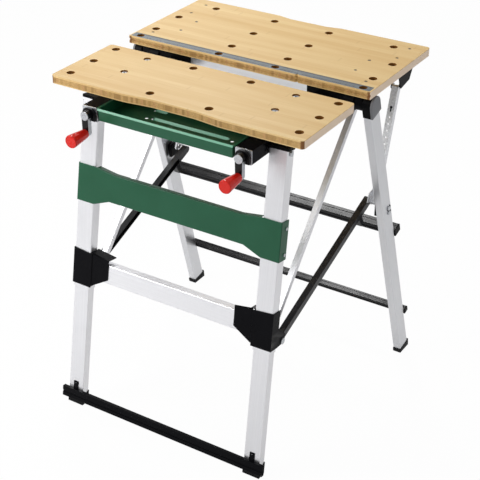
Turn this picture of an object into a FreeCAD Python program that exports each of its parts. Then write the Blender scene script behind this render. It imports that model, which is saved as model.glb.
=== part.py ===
import FreeCAD, Part
import math
import os
import Sketcher

# Folding clamping work table. X runs to the right, Y to the rear and Z up, in millimetres.
# Every place below is measured from the front jaw: Y from its front edge, Z from its top face.
doc = FreeCAD.newDocument("work_table")
sheet = doc.addObject("Spreadsheet::Sheet", "Sizes")

sizes = {
    # The whole table and its two jaw boards
    "table_height": 873.0,
    "table_length": 680.0,
    "board_thickness": 20.0,
    "front_jaw_depth": 232.7,
    "clamp_gap": 73.8,
    "rear_jaw_depth": 326.2,
    "board_corner_radius": 9.0,
    "board_edge_radius": 1.5,
    "dog_hole_radius": 10.0,
    "outer_dog_inset": 31.0,
    "middle_dog_inset": 79.0,
    "inner_dog_x": 80.0,
    "front_dog_row": 35.5,
    "centre_dog_row": 123.0,
    "back_dog_row": 211.0,
    "rear_first_dog_row": 74.0,
    "rear_second_dog_row": 176.5,
    "rear_third_dog_row": 281.5,
    "front_recess_half": 130.0,
    "front_recess_flat": 58.0,
    "rear_recess_half": 92.0,
    "rear_recess_flat": 52.0,
    "recess_depth": 8.5,
    "edge_groove_height": 5.0,
    "edge_groove_depth": 2.5,
    "vee_x": 147.0,
    "vee_half_width": 4.5,
    "vee_depth": 4.5,
    "rule_inset": 4.0,
    "rule_width": 25.5,
    "rule_setback": 2.0,
    "rule_dog_inset": 26.0,
    "rule_dog_depth": 9.0,
    "rule_thickness": 1.2,
    "screw_head_radius": 4.0,
    "screw_head_sink": 0.4,
    "screw_hole_depth": 2.4,
    "stay_screw_inset": 40.0,
    "stay_screw_front": 220.5,
    "stay_screw_rear": 291.5,
    "ear_screw_inset": 90.0,
    "ear_screw_front": 99.5,
    "ear_screw_rear": 171.5,
    "hinge_screw_inset": 38.0,
    "hinge_screw_row": 51.0,
    # Jaw carriers and bolts
    "jaw_bolt_inset": 133.5,
    "jaw_bolt_front": 107.5,
    "jaw_bolt_rear": 200.0,
    "jaw_bolt_radius": 4.0,
    "jaw_bolt_head_radius": 8.5,
    "jaw_bolt_head_sink": 0.3,
    "jaw_bolt_head_height": 2.6,
    "jaw_nut_radius": 7.0,
    "jaw_nut_height": 6.0,
    "carrier_front": 86.0,
    "carrier_length": 139.0,
    "carrier_width": 37.0,
    "carrier_plate": 4.0,
    "carrier_wall": 3.0,
    "nut_block_front": 140.0,
    "nut_block_length": 30.0,
    "nut_block_width": 16.0,
    "jaw_travel_in": 72.0,
    "jaw_travel_out": 24.0,
    # Rails, spindles and cranks
    "rail_inset": 132.2,
    "rail_width": 41.6,
    "rail_height": 35.0,
    "rail_wall": 2.0,
    "rail_edge_radius": 2.0,
    "rail_drop": 40.0,
    "rail_overhang": 23.0,
    "spindle_drop": 56.5,
    "spindle_radius": 6.0,
    "spindle_length": 302.0,
    "spindle_collar_radius": 9.0,
    "bearing_plate": 3.0,
    "bearing_depth": 16.0,
    "crank_setback": 18.0,
    "crank_thickness": 5.0,
    "crank_head_radius": 10.0,
    "crank_tail_radius": 8.5,
    "crank_throw": 43.0,
    "crank_head_height": 3.0,
    "grip_pin_radius": 4.0,
    "grip_length": 55.5,
    "grip_root_radius": 11.5,
    "grip_end_radius": 16.0,
    "grip_end_wall": 5.0,
    "grip_edge_radius": 3.0,
    # Tool tray
    "tray_inset": 158.7,
    "tray_overhang": 28.0,
    "tray_depth": 120.0,
    "tray_rim_drop": 38.0,
    "tray_height": 30.0,
    "tray_floor_drop": 24.0,
    "tray_sheet": 1.5,
    "tray_boss_radius": 6.0,
    "tray_boss_inset": 24.0,
    "tray_slot_start": -73.0,
    "tray_slot_end": 127.0,
    "tray_slot_row": 36.0,
    "tray_slot_radius": 5.0,
    "tray_hole_radius": 4.0,
    "tray_hole_gap": 16.0,
    "tray_short_slot_start": -95.0,
    "tray_short_slot_end": -67.0,
    "tray_short_slot_row": 77.0,
    # Corner pieces and cross tube round the rear hinge line
    "hinge_setback": 34.5,
    "hinge_drop": 46.0,
    "arm_front": 16.0,
    "arm_rear": 12.0,
    "arm_top": 22.0,
    "arm_bottom": 4.0,
    "arm_edge_radius": 3.0,
    "corner_inner_inset": 175.0,
    "corner_outer_inset": 50.0,
    "corner_hub_radius": 21.5,
    "corner_hub_length": 28.0,
    "corner_socket_depth": 6.0,
    "corner_socket_drop": 24.0,
    "cross_tube_wall": 2.0,
    "corner_pin_radius": 6.0,
    # Front legs
    "front_lean": 9.258,
    "front_splay": 0.8766,
    "fold_y": 51.0,
    "fold_drop": 64.5,
    "front_leg_inset": 83.5,
    "upper_leg_width": 48.4,
    "upper_leg_depth": 27.2,
    "upper_leg_front": 11.35,
    "upper_leg_top": 11.0,
    "upper_leg_length": 497.0,
    "lower_leg_width": 44.1,
    "lower_leg_depth": 22.8,
    "lower_leg_overlap": 106.0,
    "leg_wall": 1.8,
    "leg_edge_radius": 3.0,
    "cap_wall": 1.8,
    "cap_top": 2.1,
    "cap_skirt": 4.6,
    "fold_bolt_radius": 4.0,
    "fold_bolt_head_radius": 6.1,
    "fold_bolt_head": 4.0,
    "fold_collar_radius": 6.1,
    "fold_nut_radius": 8.0,
    "fold_nut_height": 4.0,
    # Cross panel, in the slope of the front legs
    "panel_sheet": 2.0,
    "panel_top": 164.8,
    "panel_bottom": 236.5,
    "panel_top_taper_start_inset": 163.0,
    "panel_top_taper_end_inset": 111.0,
    "panel_end_top": 157.5,
    "panel_bottom_taper_start_inset": 150.0,
    "panel_bottom_taper_end_inset": 106.0,
    "panel_end_bottom": 253.5,
    "panel_side_flange": 29.3,
    "panel_edge_flange": 12.0,
    "panel_screw_depth": 19.5,
    "panel_screw_upper": 177.0,
    "panel_screw_lower": 240.0,
    "panel_screw_radius": 4.0,
    "panel_screw_height": 2.0,
    # Leg brackets, front crossbar and the links' lower pins
    "bracket_sheet": 1.8,
    "bracket_height": 106.8,
    "bracket_top_fall": 8.0,
    "bracket_wing_reach": 79.6,
    "bracket_wing_root": 29.1,
    "bracket_wing_setback": 2.25,
    "bracket_wing_foot_rise": 46.1,
    "bracket_wing_root_foot_rise": 15.2,
    "bracket_lug_top_depth": 17.6,
    "bracket_lug_depth": 51.0,
    "bracket_lug_rise": 25.5,
    "bracket_tail_depth": 44.6,
    "bracket_tail_rise": 9.2,
    "bracket_lip_depth": 30.0,
    "bracket_short_lip": 43.0,
    "link_pin_depth": 38.5,
    "link_pin_rise": 21.4,
    "link_pin_radius": 5.0,
    "link_pin_collar_radius": 8.0,
    "link_pin_head": 3.0,
    "crossbar_height": 49.5,
    "crossbar_depth": 25.0,
    "crossbar_drop": 22.0,
    "crossbar_wall": 1.8,
    "crossbar_edge_radius": 2.0,
    # Front feet and foot bar
    "foot_wall": 1.6,
    "foot_base": 7.0,
    "foot_front_height": 15.0,
    "foot_rear_height": 35.0,
    "foot_bar_inset": 35.5,
    "foot_bar_depth": 10.0,
    "foot_bar_height": 28.5,
    "foot_bar_rise": 42.2,
    "foot_bar_wall": 2.0,
    "foot_bar_edge_radius": 1.5,
    "foot_bar_groove": 6.0,
    "foot_bar_groove_depth": 1.5,
    "foot_tab_width": 14.0,
    "foot_tab_height": 30.0,
    "foot_tab_thickness": 3.0,
    # Rear legs and what they carry, in the slope of the rear legs
    "rear_lean": 16.74,
    "rear_splay": 1.207,
    "rear_leg_inset": 15.7,
    "rear_leg_width": 21.0,
    "rear_leg_depth": 42.7,
    "rear_leg_start": 27.0,
    "rear_leg_edge_radius": 2.5,
    "knuckle_radius": 22.5,
    "knuckle_inner_inset": 25.8,
    "knuckle_outer_inset": 5.2,
    "knuckle_plug": 48.0,
    "knuckle_cap_thickness": 5.8,
    "knuckle_cap_edge": 2.0,
    "rear_foot_height": 10.0,
    "rear_foot_wall": 2.6,
    "rear_foot_side": 0.8,
    "rear_foot_plug": 22.0,
    "rear_bar_size": 27.0,
    "rear_bar_groove": 9.0,
    "rear_bar_groove_depth": 1.5,
    "rear_bar_edge_radius": 2.0,
    "rear_bar_wall": 3.0,
    "upper_bar_low": 433.5,
    "lower_bar_rise": 130.1,
    "bar_plug_head": 3.0,
    "bar_plug_margin": 1.0,
    "bar_plug_depth": 12.0,
    "stud_depth": 15.3,
    "stud_low": 334.6,
    "stud_radius": 6.0,
    "stud_shank_radius": 4.0,
    "stud_head": 2.4,
    "stud_spacing": 15.0,
    # Brackets under the rear jaw
    "ear_inner_inset": 48.5,
    "ear_outer_inset": 28.3,
    "ear_radius": 19.5,
    "ear_reach": 70.0,
    "ear_front": 14.0,
    "base_plate": 3.0,
    "base_start": 15.0,
    "base_length": 136.0,
    "base_inner_inset": 102.0,
    "brace_ear_sheet": 3.5,
    "brace_ear_reach": 103.0,
    "brace_ear_radius": 9.5,
    "brace_ear_foot": 24.0,
    "brace_pin_radius": 4.5,
    "brace_pin_head": 2.5,
    "stay_plate_sheet": 3.2,
    "stay_plate_outer_inset": 28.0,
    "stay_plate_front": 174.0,
    "stay_plate_length": 95.0,
    "stay_plate_shoulder_in": 12.0,
    "stay_plate_shoulder_drop": 26.0,
    "stay_plate_toe_in": 24.0,
    "stay_pin_reach": 194.0,
    "stay_pin_drop": 32.0,
    "stay_pin_radius": 4.0,
    "stay_pin_head_radius": 7.0,
    "stay_pin_head": 3.0,
    "stay_flange_width": 26.0,
    # Stays, braces and struts
    "stay_inner_inset": 49.6,
    "stay_width": 17.4,
    "stay_depth": 14.0,
    "stay_sheet": 1.6,
    "stay_end_radius": 8.0,
    "stay_hole_radius": 2.4,
    "stay_hole_pitch": 17.0,
    "stay_hole_start": 76.0,
    "stay_key_place": 51.0,
    "stay_key_radius": 3.6,
    "stay_key_slot": 10.0,
    "stay_key_slot_radius": 1.8,
    "stay_hook_reach": 20.0,
    "stay_hook_start": 34.0,
    "stay_hook_radius": 6.4,
    "brace_inner_inset": 93.0,
    "brace_width": 14.0,
    "brace_wall": 1.5,
    "strut_inner_inset": 69.7,
    "strut_width": 16.0,
    "strut_depth": 17.0,
    "strut_sheet": 2.0,
    "strut_handle": 52.0,
    "strut_handle_half": 9.0,
    "strut_lug_place": 54.0,
    "strut_lug_width": 16.0,
    "strut_lug_reach": 36.0,
    # Clearances and the overrun of a cut past a face
    "running_gap": 0.05,
    "sliding_gap": 0.2,
    "splay_gap": 0.5,
    "head_gap": 0.3,
    "overrun": 6.0,
}


class Size:
    """A length: its number, and the expression that gives it from the sheet."""

    def __init__(self, number, text):
        self.number = number
        self.text = text

    def __add__(self, other):
        return Size(self.number + number(other), f"({self.text} + {text(other)})")

    def __radd__(self, other):
        return Size(number(other) + self.number, f"({text(other)} + {self.text})")

    def __sub__(self, other):
        return Size(self.number - number(other), f"({self.text} - {text(other)})")

    def __rsub__(self, other):
        return Size(number(other) - self.number, f"({text(other)} - {self.text})")

    def __mul__(self, other):
        return Size(self.number * number(other), f"({self.text} * {text(other)})")

    def __rmul__(self, other):
        return Size(number(other) * self.number, f"({text(other)} * {self.text})")

    def __truediv__(self, other):
        return Size(self.number / number(other), f"({self.text} / {text(other)})")

    def __neg__(self):
        return Size(-self.number, f"(0 - {self.text})")


def number(thing):
    return thing.number if isinstance(thing, Size) else float(thing)


def text(thing):
    return thing.text if isinstance(thing, Size) else repr(float(thing))


class Sheet:
    """The sheet's cells as attributes, so that a size is read as s.rail_width."""

    def __init__(self):
        self.rows = 0

    def write(self, name, value):
        self.rows += 1
        sheet.set(f"A{self.rows}", name)
        sheet.set(f"B{self.rows}", repr(float(value)))
        sheet.setAlias(f"B{self.rows}", name)
        setattr(self, name, Size(float(value), f"Sizes.{name}"))
        return getattr(self, name)


s = Sheet()
for name, value in sizes.items():
    s.write(name, value)

# Slopes of the two leg frames, and the ground under the fold bolts and under the rear hinge
front_cos = s.write("front_cos", math.cos(math.radians(s.front_lean.number)))
front_sin = s.write("front_sin", math.sin(math.radians(s.front_lean.number)))
rear_cos = s.write("rear_cos", math.cos(math.radians(s.rear_lean.number)))
rear_sin = s.write("rear_sin", math.sin(math.radians(s.rear_lean.number)))
front_slope = s.write("front_slope", math.tan(math.radians(s.front_splay.number)))
rear_slope = s.write("rear_slope", math.tan(math.radians(s.rear_splay.number)))
doc.recompute()

# Places to the side of the middle, from the ends of the jaws
half_length = s.table_length / 2
outer_dog_x = half_length - s.outer_dog_inset
middle_dog_x = half_length - s.middle_dog_inset
rule_dog_x = half_length - s.rule_dog_inset
rule_half = half_length - s.rule_inset
stay_screw_x = half_length - s.stay_screw_inset
ear_screw_x = half_length - s.ear_screw_inset
hinge_screw_x = half_length - s.hinge_screw_inset
jaw_bolt_x = half_length - s.jaw_bolt_inset
rail_x = half_length - s.rail_inset
tray_side = half_length - s.tray_inset
corner_inner_x = half_length - s.corner_inner_inset
corner_outer_x = half_length - s.corner_outer_inset
front_leg_x = half_length - s.front_leg_inset
foot_bar_half = half_length - s.foot_bar_inset
panel_top_taper_start = half_length - s.panel_top_taper_start_inset
panel_top_taper_end = half_length - s.panel_top_taper_end_inset
panel_bottom_taper_start = half_length - s.panel_bottom_taper_start_inset
panel_bottom_taper_end = half_length - s.panel_bottom_taper_end_inset
rear_leg_x = half_length - s.rear_leg_inset
knuckle_inner_x = half_length - s.knuckle_inner_inset
knuckle_outer_x = half_length - s.knuckle_outer_inset
base_inner_x = half_length - s.base_inner_inset
ear_inner_x = half_length - s.ear_inner_inset
ear_outer_x = half_length - s.ear_outer_inset
stay_plate_outer_x = half_length - s.stay_plate_outer_inset
stay_inner_x = half_length - s.stay_inner_inset
brace_inner_x = half_length - s.brace_inner_inset
strut_inner_x = half_length - s.strut_inner_inset

# Places down the slope of the front legs, from the lower end of the upper leg
upper_leg_end = s.upper_leg_length - s.upper_leg_top
lower_leg_start = upper_leg_end - s.lower_leg_overlap
bracket_bottom = upper_leg_end + s.bracket_sheet
bracket_top = bracket_bottom - s.bracket_height
bracket_wing_foot = bracket_bottom - s.bracket_wing_foot_rise
bracket_wing_root_foot = bracket_bottom - s.bracket_wing_root_foot_rise
bracket_lug_low = bracket_bottom - s.bracket_lug_rise
bracket_tail_low = bracket_bottom - s.bracket_tail_rise
link_pin_low = bracket_bottom - s.link_pin_rise
crossbar_top = bracket_top + s.crossbar_drop

# Places from the front to the rear
rear_jaw_front = s.front_jaw_depth + s.clamp_gap
rear_jaw_back = rear_jaw_front + s.rear_jaw_depth
hinge_y = rear_jaw_front + s.hinge_setback
grip_front = s.rail_overhang + s.crank_setback + s.crank_thickness + s.head_gap + s.grip_length
middle_y = (rear_jaw_back - grip_front) / 2


def datum(x, y, z):
    """A place measured from the front jaw, in the part's own frame on the floor."""
    return FreeCAD.Vector(number(x), number(y) - number(middle_y), number(z) + s.table_height.number)


def in_front_frame(depth, down):
    """A place in the slope of the front legs, as Y and Z from the front jaw."""
    y = s.fold_y + depth * front_cos - down * front_sin
    z = -s.fold_drop - depth * front_sin - down * front_cos
    return y, z


def in_rear_frame(depth, down):
    """A place in the slope of the rear legs, as Y and Z from the front jaw."""
    y = hinge_y + depth * rear_cos + down * rear_sin
    z = -s.hinge_drop + depth * rear_sin - down * rear_cos
    return y, z


link_y, link_z = in_front_frame(s.link_pin_depth, link_pin_low)
stud_y, stud_z = in_rear_frame(s.stud_depth, s.stud_low)
brace_y = hinge_y + s.brace_ear_reach
stay_y = hinge_y + s.stay_pin_reach
stay_z = -s.hinge_drop - s.stay_pin_drop


def span(name, from_y, from_z, to_y, to_z):
    """Length of a link between two pivots, as a cell, and its lean from upright in degrees."""
    run = number(to_y) - number(from_y)
    rise = number(to_z) - number(from_z)
    return s.write(name, math.hypot(run, rise)), math.degrees(math.atan2(run, rise))


brace_length, brace_lean = span("brace_length", link_y, link_z, brace_y, -s.hinge_drop)
strut_length, strut_lean = span("strut_length", link_y, link_z, stud_y, stud_z)
stay_length, stay_lean = span("stay_length", stud_y, stud_z, stay_y, stay_z)
doc.recompute()

pieces = []
AXIS_X = FreeCAD.Vector(1, 0, 0)
AXIS_Y = FreeCAD.Vector(0, 1, 0)


def new_body(label, x=0, y=0, z=0, lean=0, splay=0, kept=True):
    """A body at its place: leaned about X, and splayed within the leaning plane."""
    body = doc.addObject("PartDesign::Body", label)
    body.Label = label
    body.AllowCompound = True
    turn = FreeCAD.Rotation(AXIS_X, number(lean)) * FreeCAD.Rotation(AXIS_Y, number(splay))
    body.Placement = FreeCAD.Placement(datum(x, y, z), turn)
    if kept:
        pieces.append(body)
    return body


def front_body(label, kept=True):
    return new_body(label, 0, s.fold_y, -s.fold_drop, -s.front_lean, 0, kept)


def front_leg_body(label, kept=True):
    return new_body(label, front_leg_x, s.fold_y, -s.fold_drop, -s.front_lean, -s.front_splay, kept)


def rear_body(label, kept=True):
    return new_body(label, 0, hinge_y, -s.hinge_drop, s.rear_lean, 0, kept)


def mirrored(label, source):
    """The left-hand piece, as the mirror image of the right-hand one."""
    other = doc.addObject("Part::Mirroring", label)
    other.Label = label
    other.Source = source
    other.Base = FreeCAD.Vector(0, 0, 0)
    other.Normal = AXIS_X
    pieces.append(other)
    return other


def origin_plane(body, plane):
    for feature in body.Origin.OriginFeatures:
        if feature.Role == f"{plane}_Plane":
            return feature


def tie(sketch, index, size):
    sketch.setExpression(f"Constraints[{index}]", text(size))


def tie_point(sketch, geometry, end, x, y):
    """Ties one point of a sketch to its place."""
    for kind, size in (("DistanceX", x), ("DistanceY", y)):
        rule = Sketcher.Constraint(kind, -1, 1, geometry, end, number(size))
        tie(sketch, sketch.addConstraint(rule), size)


def add_circle(sketch, x, y, radius):
    centre = FreeCAD.Vector(number(x), number(y), 0)
    index = sketch.addGeometry(Part.Circle(centre, FreeCAD.Vector(0, 0, 1), number(radius)))
    tie_point(sketch, index, 3, x, y)
    tie(sketch, sketch.addConstraint(Sketcher.Constraint("Radius", index, number(radius))), radius)


def add_loop(sketch, points):
    """A closed outline. A point is (x, y), or (x, y, radius) where an arc leads to it from the point
    before it: a positive radius turns to the left and a negative one to the right."""
    ends = []
    for count, point in enumerate(points):
        before = points[count - 1]
        start = FreeCAD.Vector(number(before[0]), number(before[1]), 0)
        end = FreeCAD.Vector(number(point[0]), number(point[1]), 0)
        if len(point) == 2:
            index = sketch.addGeometry(Part.LineSegment(start, end))
            ends.append((index, 1, 2))
            continue
        radius = number(point[2])
        if radius < 0:
            start, end = end, start
        radius = abs(radius)
        chord = end - start
        height = math.sqrt(max(radius ** 2 - (chord.Length / 2) ** 2, 0))
        left = FreeCAD.Vector(-chord.y, chord.x, 0).normalize()
        centre = start + chord / 2 + left * height
        circle = Part.Circle(centre, FreeCAD.Vector(0, 0, 1), radius)
        angles = [math.atan2(spot.y - centre.y, spot.x - centre.x) for spot in (start, end)]
        index = sketch.addGeometry(Part.ArcOfCircle(circle, angles[0], angles[1]))
        ends.append((index, 1, 2) if number(point[2]) > 0 else (index, 2, 1))
    for count, (index, begin, finish) in enumerate(ends):
        following = ends[(count + 1) % len(ends)]
        rule = Sketcher.Constraint("Coincident", index, finish, following[0], following[1])
        sketch.addConstraint(rule)
        tie_point(sketch, index, finish, points[count][0], points[count][1])
        if len(points[count]) == 3:
            size = points[count][2] if number(points[count][2]) > 0 else -points[count][2]
            rule = Sketcher.Constraint("Radius", index, number(size))
            tie(sketch, sketch.addConstraint(rule), size)


def add_outline(sketch, outline):
    if outline[0] == "circle":
        add_circle(sketch, *outline[1:])
    else:
        add_loop(sketch, outline)


def circle(x, y, radius):
    return ("circle", x, y, radius)


def box(left, right, low, high):
    return [(left, low), (right, low), (right, high), (left, high)]


def rounded_box(left, right, low, high, radius):
    return [
        (right - radius, low),
        (right, low + radius, radius),
        (right, high - radius),
        (right - radius, high, radius),
        (left + radius, high),
        (left, high - radius, radius),
        (left, low + radius),
        (left + radius, low, radius),
    ]


def capsule(x, low, low_radius, high):
    """An upright round-ended outline about the two points (x, low) and (x, high)."""
    radius = low_radius
    return [
        (x + radius, high),
        (x, high + radius, radius),
        (x - radius, high, radius),
        (x - radius, low),
        (x, low - radius, radius),
        (x + radius, low, radius),
    ]


def lying_capsule(left, right, y, radius):
    return [
        (right, y - radius),
        (right + radius, y, radius),
        (right, y + radius, radius),
        (left, y + radius),
        (left - radius, y, radius),
        (left, y - radius, radius),
    ]


def new_sketch(body, plane, outlines, height):
    sketch = body.newObject("Sketcher::SketchObject", "Sketch")
    sketch.AttachmentSupport = [(origin_plane(body, plane), "")]
    sketch.MapMode = "FlatFace"
    sketch.setExpression("AttachmentOffset.Base.z", text(height))
    for outline in outlines:
        add_outline(sketch, outline)
    return sketch


def pad(body, plane, outlines, low, high):
    """Adds the outlines between two heights along the third axis. XZ sketches face the front."""
    base = -high if plane == "XZ" else low
    feature = body.newObject("PartDesign::Pad", "Pad")
    feature.Profile = new_sketch(body, plane, outlines, base)
    feature.setExpression("Length", text(high - low))
    body.Tip = feature
    return feature


cuts = []


def cut(body, plane, outlines, low, high):
    """Takes the outlines away between two heights along the third axis."""
    before = body.Tip
    base = -low if plane == "XZ" else high
    feature = body.newObject("PartDesign::Pocket", "Pocket")
    feature.Profile = new_sketch(body, plane, outlines, base)
    feature.setExpression("Length", text(high - low))
    body.Tip = feature
    cuts.append((before, feature))
    return feature


def round_edges(body, radius, chosen):
    """Rounds the edges of the body for which chosen(edge's bounding box) holds."""
    doc.recompute()
    before = body.Tip
    names = []
    for count, edge in enumerate(before.Shape.Edges):
        if chosen(edge.BoundBox):
            names.append(f"Edge{count + 1}")
    feature = body.newObject("PartDesign::Fillet", "Fillet")
    feature.Base = (before, names)
    feature.setExpression("Radius", text(radius))
    body.Tip = feature
    return feature


# Front jaw board: glued bamboo, round front and rear corners, a shallow grip recess in the front edge,
# eight dog holes and four countersunk bolt holes.
board_low = -s.board_thickness
front_board = new_body("front_jaw_board")
corner = s.board_corner_radius
pad(front_board, "XY", [[
    (s.front_recess_flat, s.recess_depth),
    (s.front_recess_half, 0),
    (half_length - corner, 0),
    (half_length, corner, corner),
    (half_length, s.front_jaw_depth - corner),
    (half_length - corner, s.front_jaw_depth, corner),
    (corner - half_length, s.front_jaw_depth),
    (-half_length, s.front_jaw_depth - corner, corner),
    (-half_length, corner),
    (corner - half_length, 0, corner),
    (-s.front_recess_half, 0),
    (-s.front_recess_flat, s.recess_depth),
]], board_low, 0)
front_holes = []
front_rows = [
    (outer_dog_x, s.front_dog_row), (outer_dog_x, s.centre_dog_row), (outer_dog_x, s.back_dog_row),
    (s.inner_dog_x, s.front_dog_row), (s.inner_dog_x, s.back_dog_row),
]
for x, y in front_rows:
    front_holes += [circle(x, y, s.dog_hole_radius), circle(-x, y, s.dog_hole_radius)]
bolt_places = []
for y in (s.jaw_bolt_front, s.jaw_bolt_rear):
    bolt_places += [(jaw_bolt_x, y), (-jaw_bolt_x, y)]
bolt_hole = s.jaw_bolt_radius + s.sliding_gap
bolt_head_low = -s.jaw_bolt_head_sink - s.jaw_bolt_head_height
cut(front_board, "XY", front_holes + [circle(x, y, bolt_hole) for x, y in bolt_places],
    board_low - s.overrun, s.overrun)
cut(front_board, "XY", [circle(x, y, s.jaw_bolt_head_radius + s.sliding_gap) for x, y in bolt_places],
    bolt_head_low, s.overrun)

# Jaw carriers: pressed channels that slide on the rails, each with the nut block of its spindle.
rail_low = -s.rail_drop - s.rail_height
carrier_left = rail_x - s.carrier_width / 2
carrier_right = rail_x + s.carrier_width / 2
carrier_back = s.carrier_front + s.carrier_length
carrier_under = board_low - s.carrier_plate
block_left = rail_x - s.nut_block_width / 2
block_right = rail_x + s.nut_block_width / 2
block_back = s.nut_block_front + s.nut_block_length
carrier = new_body("jaw_carrier_right")
pad(carrier, "XZ", [[
    (carrier_left, board_low),
    (carrier_left, s.sliding_gap - s.rail_drop),
    (carrier_left + s.carrier_wall, s.sliding_gap - s.rail_drop),
    (carrier_left + s.carrier_wall, carrier_under),
    (carrier_right - s.carrier_wall, carrier_under),
    (carrier_right - s.carrier_wall, s.sliding_gap - s.rail_drop),
    (carrier_right, s.sliding_gap - s.rail_drop),
    (carrier_right, board_low),
]], s.carrier_front, carrier_back)
pad(carrier, "XZ", [[
    (block_left, carrier_under),
    (block_left, -s.spindle_drop),
    (rail_x, -s.spindle_drop - s.nut_block_width / 2, s.nut_block_width / 2),
    (block_right, -s.spindle_drop, s.nut_block_width / 2),
    (block_right, carrier_under),
]], s.nut_block_front, block_back)
cut(carrier, "XZ", [circle(rail_x, -s.spindle_drop, s.spindle_radius + s.running_gap)],
    s.nut_block_front - s.overrun, block_back + s.overrun)
carrier_holes = [circle(jaw_bolt_x, y, bolt_hole) for y in (s.jaw_bolt_front, s.jaw_bolt_rear)]
cut(carrier, "XY", carrier_holes, carrier_under - s.sliding_gap, board_low + s.sliding_gap)
mirrored("jaw_carrier_left", carrier)

jaw_bolts = new_body("jaw_bolts")
pad(jaw_bolts, "XY", [circle(x, y, s.jaw_bolt_head_radius) for x, y in bolt_places],
    bolt_head_low, -s.jaw_bolt_head_sink)
pad(jaw_bolts, "XY", [circle(x, y, s.jaw_bolt_radius) for x, y in bolt_places],
    carrier_under - s.jaw_nut_height, bolt_head_low)
pad(jaw_bolts, "XY", [circle(x, y, s.jaw_nut_radius) for x, y in bolt_places],
    carrier_under - s.jaw_nut_height, carrier_under)

# Rails: black box section, slotted on top for the nut block, open at the front for the spindle bearing.
rail_left = rail_x - s.rail_width / 2
rail_right = rail_x + s.rail_width / 2
rail_front = -s.rail_overhang
rail_back = hinge_y - s.arm_front - s.head_gap
slot_front = s.nut_block_front - s.jaw_travel_out - s.sliding_gap * 5
slot_back = block_back + s.jaw_travel_in + s.sliding_gap * 5
slot_left = block_left - s.sliding_gap * 2
slot_right = block_right + s.sliding_gap * 2
rail = new_body("rail_right")
pad(rail, "XZ", [
    rounded_box(rail_left, rail_right, rail_low, -s.rail_drop, s.rail_edge_radius),
    box(rail_left + s.rail_wall, rail_right - s.rail_wall, rail_low + s.rail_wall, -s.rail_drop - s.rail_wall),
], rail_front, rail_back)
cut(rail, "XY", [box(slot_left, slot_right, slot_front, slot_back)],
    -s.rail_drop - s.rail_wall * 2, -s.rail_drop + s.overrun)
cut(rail, "YZ", [circle(s.fold_y, -s.fold_drop, s.fold_bolt_radius + s.running_gap)],
    rail_right - s.rail_wall * 2, rail_right + s.overrun)
mirrored("rail_left", rail)

# Spindle bearings: plugs in the rails' front ends with a bright front plate.
bearing_front = rail_front - s.bearing_plate
bearing = new_body("spindle_bearing_right")
pad(bearing, "XZ", [rounded_box(rail_left, rail_right, rail_low, -s.rail_drop, s.rail_edge_radius)],
    bearing_front, rail_front)
pad(bearing, "XZ", [box(rail_left + s.rail_wall, rail_right - s.rail_wall,
                        rail_low + s.rail_wall, -s.rail_drop - s.rail_wall)],
    rail_front, rail_front + s.bearing_depth)
cut(bearing, "XZ", [circle(rail_x, -s.spindle_drop, s.spindle_radius + s.running_gap)],
    bearing_front - s.overrun, rail_front + s.bearing_depth + s.overrun)
mirrored("spindle_bearing_left", bearing)

# Spindles: steel rods with a thrust collar in front of the bearing and one behind it.
crank_back = rail_front - s.crank_setback
collar_back = bearing_front - s.head_gap
rear_collar = rail_front + s.bearing_depth + s.head_gap
spindle = new_body("spindle_right")
pad(spindle, "XZ", [circle(rail_x, -s.spindle_drop, s.spindle_radius)],
    crank_back, crank_back + s.spindle_length)
pad(spindle, "XZ", [circle(rail_x, -s.spindle_drop, s.spindle_collar_radius)], crank_back, collar_back)
pad(spindle, "XZ", [circle(rail_x, -s.spindle_drop, s.spindle_collar_radius)],
    rear_collar, rear_collar + s.bearing_plate)
mirrored("spindle_left", spindle)

# Crank arms: flat steel levers with a round riveted head and the pin that the grip turns on.
crank_front = crank_back - s.crank_thickness
grip_drop = s.spindle_drop + s.crank_throw
grip_back = crank_front - s.head_gap
grip_tip = grip_back - s.grip_length
pin_tip = grip_tip + s.grip_end_wall
head = s.crank_head_radius
tail = s.crank_tail_radius
arm = new_body("crank_arm_right")
pad(arm, "XZ", [[
    (rail_x + head, -s.spindle_drop),
    (rail_x, head - s.spindle_drop, head),
    (rail_x - head, -s.spindle_drop, head),
    (rail_x - tail, -grip_drop),
    (rail_x, -grip_drop - tail, tail),
    (rail_x + tail, -grip_drop, tail),
]], crank_front, crank_back)
round_edges(arm, s.crank_thickness / 4, lambda b: b.YMax < crank_front.number + s.crank_thickness.number / 2)
pad(arm, "XZ", [circle(rail_x, -s.spindle_drop, s.spindle_radius + s.crank_head_height / 2)],
    crank_front - s.crank_head_height, crank_front)
pad(arm, "XZ", [circle(rail_x, -grip_drop, s.grip_pin_radius)], pin_tip + s.head_gap, crank_front)
mirrored("crank_arm_left", arm)

# Grips: red tapered sleeves, wider at the closed outer end, turned round their pins.
grip_pin_bore = s.grip_pin_radius + s.running_gap
grip = new_body("grip_right", rail_x, 0, -grip_drop)
grip_sketch = new_sketch(grip, "YZ", [[
    (grip_back, grip_pin_bore),
    (grip_back, s.grip_root_radius),
    (grip_tip + s.grip_edge_radius * 3, s.grip_end_radius),
    (grip_tip + s.grip_edge_radius, s.grip_end_radius),
    (grip_tip, s.grip_end_radius - s.grip_edge_radius, s.grip_edge_radius),
    (grip_tip, 0),
    (pin_tip, 0),
    (pin_tip, grip_pin_bore),
]], 0)
grip_turn = grip.newObject("PartDesign::Revolution", "Revolution")
grip_turn.Profile = grip_sketch
grip_turn.ReferenceAxis = (grip_sketch, ["H_Axis"])
grip_turn.Angle = 360
grip.Tip = grip_turn
mirrored("grip_left", grip)

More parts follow.
